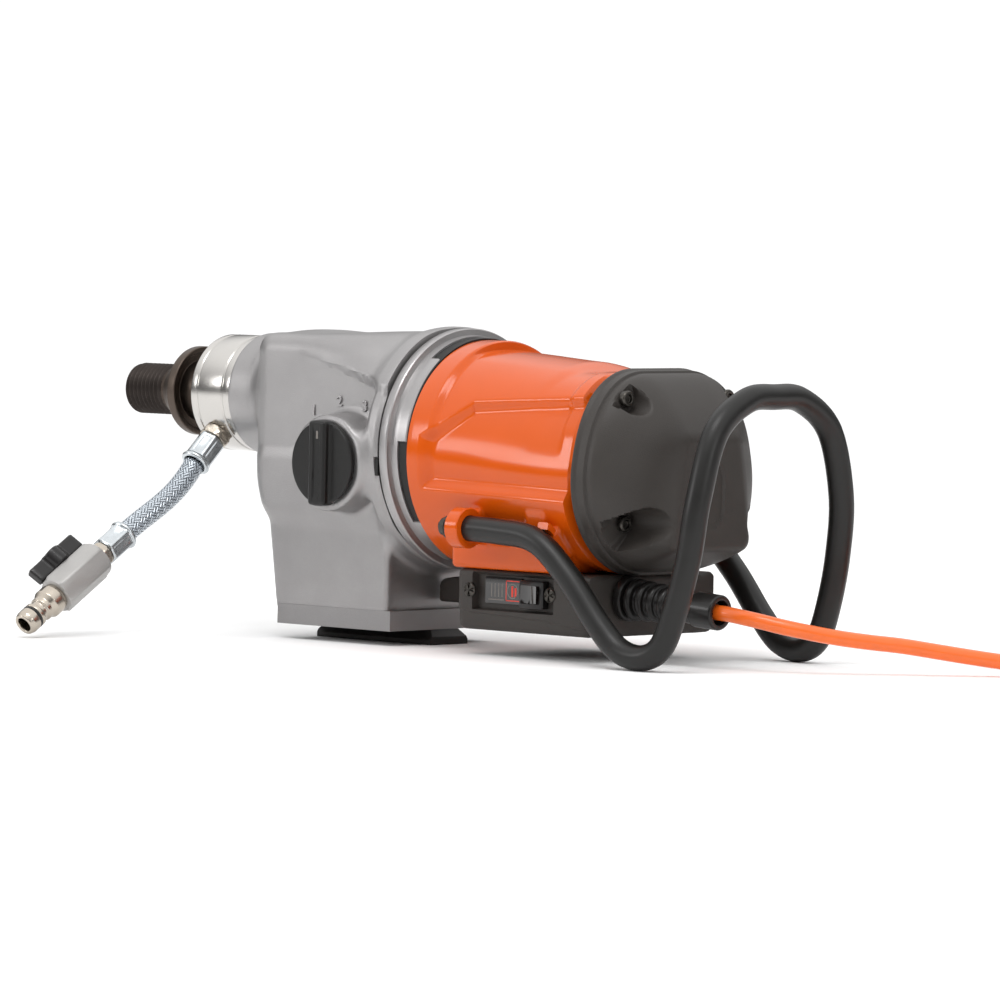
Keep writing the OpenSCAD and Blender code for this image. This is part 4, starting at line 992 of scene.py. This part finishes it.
class DRILL_OT_casing(bpy.types.Operator):
    """Cast gear casing with its bosses, pedestal and raised gear figures; the flange ring behind it"""

    bl_idname = "core_drill.casing"
    bl_label = "Gear casing"

    def execute(self, context):
        rows = stations((60, SPINDLE_Z, 89.5, 8), (88, SPINDLE_Z, 60, 20), (98, SPINDLE_Z, 20, 12),
                        (98, SPINDLE_Z, 2, 16), (76, SPINDLE_Z, 2, 10),
                        (58, 142, 38, 34), (36, 132, 20, 30), (6, 122, 0, 34), (-24, 116, -4, 22),
                        (-40, MOTOR_Z, -4, 30),
                        (-56, MOTOR_Z, -2, 10), (-54, MOTOR_Z, -50, 18), (-40, MOTOR_Z, -89.5, 1))
        weight = lambda a: 1 + 0.8 * np.exp(-((a - 1.5 * math.pi) / 0.6) ** 2)
        skin = shell(casing_field, rows, 400, weight)
        put("casing_shell", [capped(skin)], MATERIALS["cast"], "root", ("gear_housing",),
            32)
        face = np.array([[-1, 0, 0], [0, 0, 1], [0, 1, 0]], float)
        for words, x, z in (("1", 13.3, 139.4), ("2", -8.3, 145.6), ("3", -29.5, 143.2)):
            text_piece("figure_" + words, words, 8.8, 0.6, face, (x, 53.3, z), MATERIALS["ring"])
        # Flange ring: from the seam back, stepped in, with three long gaps for air in its rear edge
        a = angles(288)
        x = np.array([-59.6, -59.6, -60.1, -60.6, -65.2, -66.0, -66.6, -69.5, -70.9, -71.0, -76.9, -77.5,
                      -77.5, -60.2])
        r = np.array([60, 71.4, 72.3, 72.5, 72.5, 71.9, 68.6, 68.0, 68.0, 68, 68.0, 67.2, 60, 60])
        turn = (np.degrees(a) + 90) % 360 - 90
        outlet = (np.abs(turn - 90) < 36) | (np.abs(turn + 17) < 21) | (np.abs(turn - 197) < 21)
        ring = np.broadcast_to(r[:, None], (14, 288)).copy()
        for k in (9, 10, 11):
            ring[k, outlet] = np.minimum(ring[k, outlet], 62.5)
        pts = np.stack([np.broadcast_to(x[:, None], ring.shape), ring * np.cos(a),
                        MOTOR_Z + ring * np.sin(a)], -1)
        put("flange_ring", [looped(pts)], MATERIALS["ring"], "root", ("motor_flange",), 32)
        # Painted shade: a black drum behind the air gaps and a black block in the casing slot stand for the shade
        # inside them; the thin black ring is the dark seam joint with painted shade in it.
        dark = turned([[50, -60.4], [66.9, -60.4], [66.9, -78.6], [50, -78.6]], 192)[:, :, [2, 0, 1]] + [0, 0,
                                                                                                         MOTOR_Z]
        seam = turned([[50, -58.8], [70.8, -58.8], [70.8, -59.9], [50, -59.9]], 128)[:, :, [2, 0, 1]] + [0, 0,
                                                                                                         MOTOR_Z]
        slot = brick_part((-58.0, 69.2, 103.3), (-55.6, 71.1, 113.7), 0.2)
        put("flange_shadow", [looped(dark), looped(seam), slot], MATERIALS["black"], sharp=30)
        return {"FINISHED"}


# ---- motor housing ----


def side_panel(x, z):
    """0 on the sunk side panel, 1 outside it, with a slope between; a five-sided outline open to the rear."""
    falling = x > PANEL_KNEE_X
    top = np.where(falling, 150.8 - 0.648 * (x - PANEL_KNEE_X), 156.5 - 0.067 * (x + 207.7))
    low = 92.8 + 0.024 * (x + 206.8)
    inside = np.maximum.reduce([(z - top) / np.where(falling, 1.2, 1.0), low - z, (x - PANEL_FRONT_X) * 0.9])
    return ramp(inside, -9.0, 0.0)


def housing_field(p):
    """Barrel that is one circle in front, with a raised lip, a flat crown and sunk side panels."""
    x, y, z = p[:, 0], p[:, 1], p[:, 2]
    ay = np.abs(y)
    rear = barrel(y, z)
    front = np.hypot(y, z - HOUSING_Z) - 68.5
    t = ramp(x, -200, -92)
    body = rear * (1 - t) + front * t
    body = body + 3.2 * ramp(x, -93.5, -99.5) * ramp(z, 108, 150)
    crown = z - (178.6 + 0.062 * (x + 100))
    body = meet(body, np.where(x > -96, -50.0, crown), 6)
    bore = meet(np.hypot(y, z - MOTOR_Z) - 54.9, slab(x, -178, -84), 12)
    body = merge(body, bore, 9)
    body = body - 2.2 * ramp(x, -193, -199) * ramp(z, 118, 138)
    depth = settings().panel_depth * 1000
    side = ramp(ay, 44, 54)
    body = body + depth * (1 - side_panel(x, z)) * side
    skirt = meet(meet(ay - 57.5, slab(x, -192, -105), 5), slab(z, 51.2, 92), 3)
    body = merge(body, skirt, 4)
    folded = np.stack([x, ay, z], -1)
    # Bridge to the front clip, saddle of the rear clip and the tab over it
    for low, high, edge in (((-137, 50, 66), (-127, 72, 86), 2), ((-197.5, 50, 60), (-188.5, 67, 78), 2),
                            ((-189, 55, 77), (-174, 66.5, 87), 2.5)):
        body = merge(body, brick(folded, low, high, edge), 3)
    return meet(meet(body, x - FLANGE_X + 0.6, 1.6), JOINT_X - x, 0.6)


class DRILL_OT_housing(bpy.types.Operator):
    """Orange motor housing with sunk side panels, front lip, skirt and the clips that hold the handle tube"""

    bl_idname = "core_drill.housing"
    bl_label = "Motor housing"

    def execute(self, context):
        rows = stations((-100, HOUSING_Z, 89.5, 14), (-88, HOUSING_Z, 30, 10), (-82, HOUSING_Z, 0, 50),
                        (-110, HOUSING_Z, 0, 60), (-150, 114, 0, 56),
                        (-186, 113, 0, 40), (-206, 113, 0, 8), (-206, 113, -30, 10), (-190, 113, -89.5, 1))
        weight = lambda a: 1 + 0.5 * np.exp(-((a - 0.2) / 0.5) ** 2) + 0.5 * np.exp(-((a - math.pi
                                                                                       + 0.2) / 0.5) ** 2)
        skin = shell(housing_field, rows, 380, weight)
        parts = [capped(skin)]
        # Clip rings round the handle tube
        a = angles(64)
        prof = [(7.7, -5), (7.7, 5), (11.4, 5), (12, 4.3), (12, -4.3), (11.4, -5)]
        for side in (1, -1):
            ring = np.stack([np.stack([np.full(64, -132.0 + w), side * 74 + r * np.cos(a),
                                       75.9 + r * np.sin(a)], -1) for r, w in prof])
            parts.append(looped(ring))
            arc = np.radians(np.linspace(100, 250, 30)) if side > 0 else np.radians(np.linspace(80, -70, 30))
            saddle = [(7.7, -4), (7.7, 4), (11.2, 4), (11.8, 3.2), (11.8, -3.2), (11.2, -4)]
            wrap = np.stack([np.stack([np.full(6, -193.0) + [w for _, w in saddle],
                                       side * 73.6 + np.cos(t) * np.array([r for r, _ in saddle]),
                                       70.4 + np.sin(t) * np.array([r for r, _ in saddle])], -1)
                                       for t in arc])
            parts.append(capped(wrap))
        put("housing_shell", parts, MATERIALS["orange"], "root", ("motor_housing",), 34)
        return {"FINISHED"}


# ---- rear cap ----


def cap_field(p):
    """Dark cap: carries the barrel on, steps in and closes on a flat trapezoid; pockets for screws."""
    x, y, z = p[:, 0], p[:, 1], p[:, 2]
    ay = np.abs(y)
    rear = barrel(y, z)
    end = meet(meet(ay - (24.8 + (134 - z) * 0.17), z - 134, 6), 66 - z, 8)
    t = np.clip((-226 - x) / 35, 0, 1) ** 1.5
    body = (rear + 0.4) * (1 - t) + end * t
    body = body + 1.5 * ramp(x, -222.3, -223.4) - 1.2 * ramp(x, -217.5, -214.5)
    lid = 0.816 * (z - 172.0) + 0.578 * (-232 - x)
    body = meet(body, lid, 3)
    for cy, cz in ((44.1, 154.8), (44.1, 82.2)):
        pocket = np.hypot(ay - cy, z - cz) - 8.2 + (x - POCKET_X) * 0.1
        body = meet(body, -np.maximum(pocket, x - POCKET_X), 0.8)
    oval = np.hypot(y, z - np.clip(z, 92, 108)) - 9.5
    body = meet(body, -np.maximum(oval, x + 259.6), 0.5)
    return meet(meet(body, x - JOINT_X + 0.6, 0.6), -(x - CAP_X), 2.5)


class DRILL_OT_cap(bpy.types.Operator):
    """Rear cap with its step, sloping lid, sunk oval and screws in round pockets"""

    bl_idname = "core_drill.cap"
    bl_label = "Rear cap"

    def execute(self, context):
        rows = stations((-226, 112, 89.5, 10), (-216, 112, 30, 10), (-214, 112, 0, 20), (-222, 112, 0, 16),
                        (-226, 112, 0, 22), (-238, 108, -10, 30),
                        (-246, 104, -30, 34), (-246, 103, -62, 22), (-246, 102, -89.5, 1))
        skin = shell(cap_field, rows, 380)
        put("cap_shell", [capped(skin)], MATERIALS["dark"], "root", ("rear_cap",), 34)
        head = turned(rounded([[0, 0], [4.6, 0], [4.9, 3.2], [4.2, 4.2], [2.6, 4.2], [2.5, 2.2], [0, 2.2]],
                              0.3), 48)[1:-1]
        parts = []
        for y in (44.1, -44.1):
            for z in (154.8, 82.2):
                parts += placed([capped(head)], BACKWARD, (POCKET_X - 0.1, y, z))
        put("cap_screw_heads", parts, MATERIALS["bolt"], "root", ("cap_screws",))
        return {"FINISHED"}


# ---- gear knob ----


class DRILL_OT_knob(bpy.types.Operator):
    """Gear knob: a stepped disc with a tapered bar across it"""

    bl_idname = "core_drill.knob"
    bl_label = "Gear knob"

    def execute(self, context):
        half = settings().knob_grip * 500

        def field(p):
            """Disc with a chamfered rim under a bar whose sides lean in and whose ends round over."""
            u, w, h = p[:, 1], p[:, 2], p[:, 0]
            r = np.hypot(u, w)
            disc = meet(r - 25, slab(h, 14.6, 18.4), 1.0)
            bar = meet(meet(np.abs(u) - half - (23 - h) * 0.16, r - 25.6, 1.6), slab(h, 14.6, 23), 1.8)
            dish = meet(np.abs(u) - 2.4, slab(h, 22.2, 30), 0.2)
            return meet(merge(disc, bar, 1.8), -meet(dish, r - 19, 0.4), 0.4)

        rows = stations((15.6, 0, -89, 8), (15.8, 0, -30, 8), (16, 0, 0, 34), (17.6, 0, 6, 40),
                        (18.6, 0, 30, 40), (19.6, 0, 60, 40), (20.4, 0, 89, 1))
        skin = shell(field, rows, 260, lambda a: 1 + 1.2 * np.exp(-(np.cos(a) / 0.45) ** 2))
        at = np.array([[0, -1, 0], [1, 0, 0], [0, 0, 1]], float)
        put("knob_grip", placed([capped(skin)], at, KNOB), MATERIALS["knob"], "gear_knob", ("gear_knob",),
            34)
        mark = brick_part((-0.9, 22.0, 14.5), (0.9, 22.35, 22.5), 0.2)
        put("knob_mark", placed([mark], np.eye(3), KNOB), MATERIALS["pale"], "gear_knob")
        return {"FINISHED"}


def brick_part(low, high, edge=0.4):
    """A chamfered block from an outline carried up, with its rims drawn in."""
    (x0, y0, z0), (x1, y1, z1) = low, high
    e = edge
    o = np.array([[x0 + e, y0], [x1 - e, y0], [x1, y0 + e], [x1, y1 - e], [x1 - e, y1], [x0 + e, y1],
                  [x0, y1 - e], [x0, y0 + e]], float)
    return capped(prism(o, z0, z1, e))


# ---- switch box ----


def box_field(p):
    """Rounded bar under the housing, wider below its crease, with a recess on the left and a neck."""
    x, y, z = p[:, 0], p[:, 1], p[:, 2]
    ay = np.abs(y)
    crease = np.interp(x, [-216, -206, -178.6, -152, -122, -112], [19.6, 20.8, 23.9, 25, 26.2, 27.5])
    wide = 57.0 - 0.9 * ramp(z - crease, 0.2, -1.0) - np.maximum(21 - z, 0) * 0.22
    box = meet(meet(ay - wide, slab(x, -215.9, -110.1), 5.5), slab(z, 15.1, 51), 3.2)
    sink = np.maximum(np.maximum(x + 127.5 + (y - 57) * 0.8, -184.5 - x + (y - 57) * 0.8),
                      slab(z, 28.2 - (57 - y) * 0.1, 48.2))
    box = meet(box, -meet(sink, 52.4 - y, 0.6), 0.7)
    neck = meet(meet(ay - 5, slab(x, -113, -47), 2), slab(z, 26, 42), 2)
    neck = meet(neck, 0.35 * (x + 60) + 0.94 * (z - 44), 4)
    return merge(box, neck, 2)


class DRILL_OT_switch_box(bpy.types.Operator):
    """Switch box with its recess, gloss load display, switch block, rocker and cross-head screws"""

    bl_idname = "core_drill.switch_box"
    bl_label = "Switch box"

    def execute(self, context):
        m = MATERIALS
        rows = stations((-60, 33, 89.5, 8), (-54, 33, 20, 6), (-52, 33, 0, 10), (-108.5, 33, 0, 1),
                        (-150, 33, 72, 30), (-150, 33, 34, 10), (-120, 33, 0, 90), (-206, 33, 0, 10),
                        (-206, 33, -30, 12), (-198, 33, -89.5, 1))
        skin = shell(box_field, rows, 360, lambda a: 1 + 1.6 * np.exp(-(np.sin(a) / 0.5) ** 2))
        put("box_shell", [capped(skin)], m["box"], "root", ("switch_box", "switch_panel"), 34)
        put("display_gloss", [brick_part((-161.1, 50.2, 31.5), (-131.1, 53.9, 46.9), 0.5)], m["gloss"],
            "root", ("display_window",))
        y = DISPLAY_Y
        red = [brick_part((x0, y - 0.3, z0), (x1, y, z1), 0.05) for x0, x1, z0, z1 in
               ((-159.6, -158.9, 33.2, 45.4), (-148.6, -147.9, 33.2, 45.4), (-159.6, -147.9, 44.8, 45.4),
                (-159.6, -147.9, 33.2, 33.8),
                (-156.6, -155.0, 35.8, 41.2), (-154.0, -152.4, 35.8, 42.2))]
        put("display_marks", red, m["red"])
        tick = [brick_part((x, y - 0.3, 35.4), (x + 0.8, y, 43.2), 0.05)
                for x in (-145.4, -142.6, -139.8, -137.0)]
        tick.append(brick_part((-146.6, y - 0.3, 33.4), (-134.0, y, 34.1), 0.05))
        a = angles(40)
        ring = np.stack([np.stack([-153.4 + r * np.cos(a), np.full(40, h), 39.2 + r * np.sin(a)], -1) for r,
                         h in ((3.9, y - 0.3), (3.9, y), (4.5, y), (4.5, y - 0.3))])
        put("display_scale", tick + [looped(ring)], m["pale"])
        put("switch_block", [brick_part((-181, 44, 30.1), (-162, 58.2, 46.4), 0.8)], m["lever"], "root",
            ("switch_body",))
        s = np.linspace(-ROCKER_HALF, ROCKER_HALF, 24)
        dip = 1.5 + 0.9 * (s / ROCKER_HALF) ** 2
        o = np.concatenate([np.stack([s, dip], 1), [[ROCKER_HALF, -1.5], [-ROCKER_HALF, -1.5]]])
        put("rocker", placed([capped(prism(o, -5.4, 5.4, 0.5))], about_z(-8), (-171.5, 57.4, 38.2)),
            m["gloss"], "power_rocker", ("power_rocker",), 30)
        screws = []
        for x in (-122.0, -186.0):
            c = angles(48)
            cross = (np.minimum(np.abs(np.sin(c)), np.abs(np.cos(c))) < 0.26)
            radii = [4.4, 4.4, 3.9, 3.1, 2.2, 1.0]
            high = [56.2, 57.4, 57.9, 58.1, 58.15, 58.15]
            rings = []
            for r, h in zip(radii, high):
                rings.append(np.stack([x + r * np.cos(c), np.where(cross & (r < 3.2), h - 1.2, h),
                                       38.7 + r * np.sin(c)], -1))
            screws.append(capped(np.stack(rings)))
        put("panel_screw_heads", screws, m["bolt"], "root", ("panel_screws",), 25)
        return {"FINISHED"}


class DRILL_OT_handle(bpy.types.Operator):
    """Carrying handle: one bent tube in satin rubber, and its two end bolts"""

    bl_idname = "core_drill.handle"
    bl_label = "Handle"

    def execute(self, context):
        side = np.array([[-122, 74, 76], [-160, 74, 75], [-190, 74, 71], [-214, 73, 52], [-237, 72, 26],
                         [-253, 71, 11.5], [-270, 70, 7.6],
                         [-284, 69, 14.5], [-293, 68, 35], [-301, 66, 66], [-305, 63, 100], [-306, 50, 138],
                         [-306, 24, 156], [-306, 0, 158]], float)
        other = side[:-1][::-1] * [1, -1, 1]
        path = even_path(smooth_path(np.concatenate([side, other]), 10), 2.4)
        radius = np.full(len(path), 7.5)
        radius[[0, -1]] = 7.0
        put("handle_bar", [capped(carried(path, radius, 28, (0.2, 0.1, 1)))], MATERIALS["tube"], "root",
            ("handle_tube",), 50)
        parts = []
        for y in (74, -74):
            disc = turned(rounded([[0, 0], [7.1, 0], [7.1, 1.6], [0, 1.6]], 0.4)[1:-1], 48)
            parts += placed([capped(disc), capped(hexagon(10, 1.5, 6.0, 0.3, 0.5))], ALONG_X, (-121.7, y, 76))
        put("handle_bolts", parts, MATERIALS["bolt"], "root", ("handle_end_bolts",))
        return {"FINISHED"}


class DRILL_OT_base(bpy.types.Operator):
    """Spacer plate and quick-mount wedge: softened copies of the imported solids"""

    bl_idname = "core_drill.base"
    bl_label = "Spacer and wedge"

    def execute(self, context):
        for node, material, slot, edge in (("spacer_plate", "plate", "machined_aluminium", 0.0007),
                                           ("wedge_plate", "wedge", "black_steel", 0.0008),
                                           ("bearing_plate", "cast", "cast_aluminium", 0.0006)):
            soften(node, MATERIALS[material], edge)
        return {"FINISHED"}


def soften(node, material, width):
    """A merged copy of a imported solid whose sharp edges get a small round."""
    source = frame["nodes"][node]
    piece = bpy.data.objects.new(node + "_soft", source.data.copy())
    bpy.context.scene.collection.objects.link(piece)
    work = bmesh.new()
    work.from_mesh(piece.data)
    bmesh.ops.remove_doubles(work, verts=work.verts, dist=1e-5)
    bmesh.ops.dissolve_limit(work, angle_limit=math.radians(1), verts=work.verts, edges=work.edges)
    work.to_mesh(piece.data)
    work.free()
    piece.data.materials.clear()
    piece.data.materials.append(material)
    soft = piece.modifiers.new("edges", "BEVEL")
    soft.width, soft.segments, soft.limit_method, soft.angle_limit = width, 2, "ANGLE", math.radians(35)
    piece.data.polygons.foreach_set("use_smooth", np.ones(len(piece.data.polygons), bool))
    piece.data.set_sharp_from_angle(angle=math.radians(35))
    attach(piece, source["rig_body"])
    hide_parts(node)


INSIDE = {
    "cast": ("gear_housing", "bearing_plate"), "ring": ("motor_flange",), "plate": ("spacer_plate",),
    "wedge": ("wedge_plate",),
    "collar": ("water_collar",), "spindle": ("spindle",), "orange": ("motor_housing",), "dark": ("rear_cap",),
    "box": ("switch_box", "switch_panel"), "gloss": ("display_window", "power_rocker"),
    "lever": ("switch_body", "valve_lever"),
    "knob": ("gear_knob", "cooling_fan"), "tube": ("handle_tube",), "gland": ("cable_gland", "plug_body"),
    "cord": ("power_cord", "cord_coil", "cord_tail"), "pins": ("plug_pins",),
    "nickel": ("water_nipple", "coupling_nipple"),
    "zinc": ("hose_ferrules",), "valve": ("valve_body",), "ring_seal": ("o_ring", "shaft_seals"),
    "bolt": ("flange_bolts", "base_bolts", "cap_screws", "handle_end_bolts", "draw_key"),
    "steel": ("panel_screws", "rotor_shaft", "motor_bearings", "gear_bearings", "valve_ball",
              "selector_rail"),
    "gear": ("countershaft", "idle_gear_1", "idle_gear_2", "idle_gear_3", "spindle_gears", "shift_collar",
             "selector_crank"),
    "laminate": ("stator_core", "armature_core"), "copper": ("field_windings", "armature_windings",
                                                             "commutator"),
    "brass": ("brush_holders", "shift_fork"), "carbon": ("carbon_brushes",), "board": ("control_board",),
    "braid": ("hose",),
}


class DRILL_OT_packed_parts(bpy.types.Operator):
    """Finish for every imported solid, the ones inside the casing among them"""

    bl_idname = "core_drill.packed_parts"
    bl_label = "Inside parts"

    def execute(self, context):
        for key, names in INSIDE.items():
            for name in names:
                mesh = frame["nodes"][name].data
                mesh.materials.clear()
                mesh.materials.append(MATERIALS[key])
        missing = sorted(set(frame["nodes"]) - {n for names in INSIDE.values() for n in names})
        if missing:
            raise RuntimeError("no finish for " + ", ".join(missing))
        return {"FINISHED"}


# Floor's half width, world strength as the camera sees it, the point the lamps face,
# and each lamp's name, place, size and power
FLOOR_HALF = 30
SEEN_WORLD = 1.05
LAMPS_FACE = (-0.06, 0.0, 0.1)
LAMPS = (("key", (-0.5, 0.9, 1.9), 1.0, 12), ("side", (-2.4, 0.5, 0.8), 0.7, 5),
         ("rim", (1.3, 1.9, 0.8), 0.8, 9))


class DRILL_OT_stage(bpy.types.Operator):
    """White floor, pale world and three soft lights"""

    bl_idname = "core_drill.stage"
    bl_label = "Floor and light"

    def execute(self, context):
        mesh = bpy.data.meshes.new("floor")
        h = FLOOR_HALF
        mesh.from_pydata([(-h, -h, 0), (h, -h, 0), (h, h, 0), (-h, h, 0)], [], [(0, 1, 2, 3)])
        f = Finish("Pale floor", Roughness=0.9)
        f.set(**{"Base Color": f.mix(f.noise(0.6, 2.0), [0.96, 0.96, 0.96, 1], [0.98, 0.98, 0.98, 1]),
                 "Specular_IOR_Level": 0.1})
        mesh.materials.append(f.material)
        floor = bpy.data.objects.new("floor", mesh)
        context.scene.collection.objects.link(floor)
        world = bpy.data.worlds.new("studio")
        world.use_nodes = True
        background = world.node_tree.nodes["Background"]
        background.inputs["Color"].default_value = (1, 1, 1, 1)
        sheet = Sheet(world.node_tree)
        way = sheet.node("ShaderNodeTexCoord", out="Generated")
        height = sheet.node("ShaderNodeSeparateXYZ", {}, {0: way}, "Z")
        span = {"Value": height, "From Min": 0.05, "From Max": 0.75, "To Min": 0.07, "To Max": 1.36}
        rise = sheet.node("ShaderNodeMapRange", {"interpolation_type": "SMOOTHSTEP"}, span, "Result")
        seen = sheet.node("ShaderNodeLightPath", out="Is Camera Ray")
        pick = sheet.node("ShaderNodeMix", {}, {"Factor": seen, "A": rise, "B": SEEN_WORLD}, "Result")
        sheet.tree.links.new(pick.socket, background.inputs["Strength"])
        context.scene.world = world
        context.scene.view_settings.view_transform = "Standard"
        for name, at, size, power in LAMPS:
            data = bpy.data.lights.new(name, "AREA")
            data.shape, data.size, data.size_y, data.energy = "RECTANGLE", size, size * 0.6, power
            lamp = bpy.data.objects.new(name, data)
            context.scene.collection.objects.link(lamp)
            way = np.array(LAMPS_FACE) - np.array(at)
            lamp.matrix_world = Matrix.Translation(at) @ Vector(way.tolist()).to_track_quat("-Z",
                                                                                            "Y").to_matrix().to_4x4()
        return {"FINISHED"}


OPERATORS = (DRILL_OT_camera, DRILL_OT_cord, DRILL_OT_water_line, DRILL_OT_packed_parts, DRILL_OT_spindle,
             DRILL_OT_collar, DRILL_OT_casing,
             DRILL_OT_housing, DRILL_OT_cap, DRILL_OT_knob, DRILL_OT_switch_box, DRILL_OT_handle,
             DRILL_OT_base, DRILL_OT_stage)


class DRILL_PT_panel(bpy.types.Panel):
    """The sizes and colours, and a button for each piece"""

    bl_idname = "DRILL_PT_panel"
    bl_label = "Core drill"
    bl_space_type = "VIEW_3D"
    bl_region_type = "UI"
    bl_category = "Core drill"

    def draw(self, context):
        for name in DrillSettings.__annotations__:
            self.layout.prop(context.scene.core_drill, name)
        for operator in OPERATORS:
            self.layout.operator(operator.bl_idname)


CLASSES = (DrillSettings, *OPERATORS, DRILL_PT_panel)


def register():
    for cls in CLASSES:
        bpy.utils.register_class(cls)
    bpy.types.Scene.core_drill = bpy.props.PointerProperty(type=DrillSettings)


def unregister():
    del bpy.types.Scene.core_drill
    for cls in reversed(CLASSES):
        bpy.utils.unregister_class(cls)


def main():
    """Registers the add-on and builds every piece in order."""
    register()
    make_materials(settings())
    for operator in OPERATORS:
        group, name = operator.bl_idname.split(".")
        getattr(getattr(bpy.ops, group), name)()


if __name__ == "__main__":
    main()
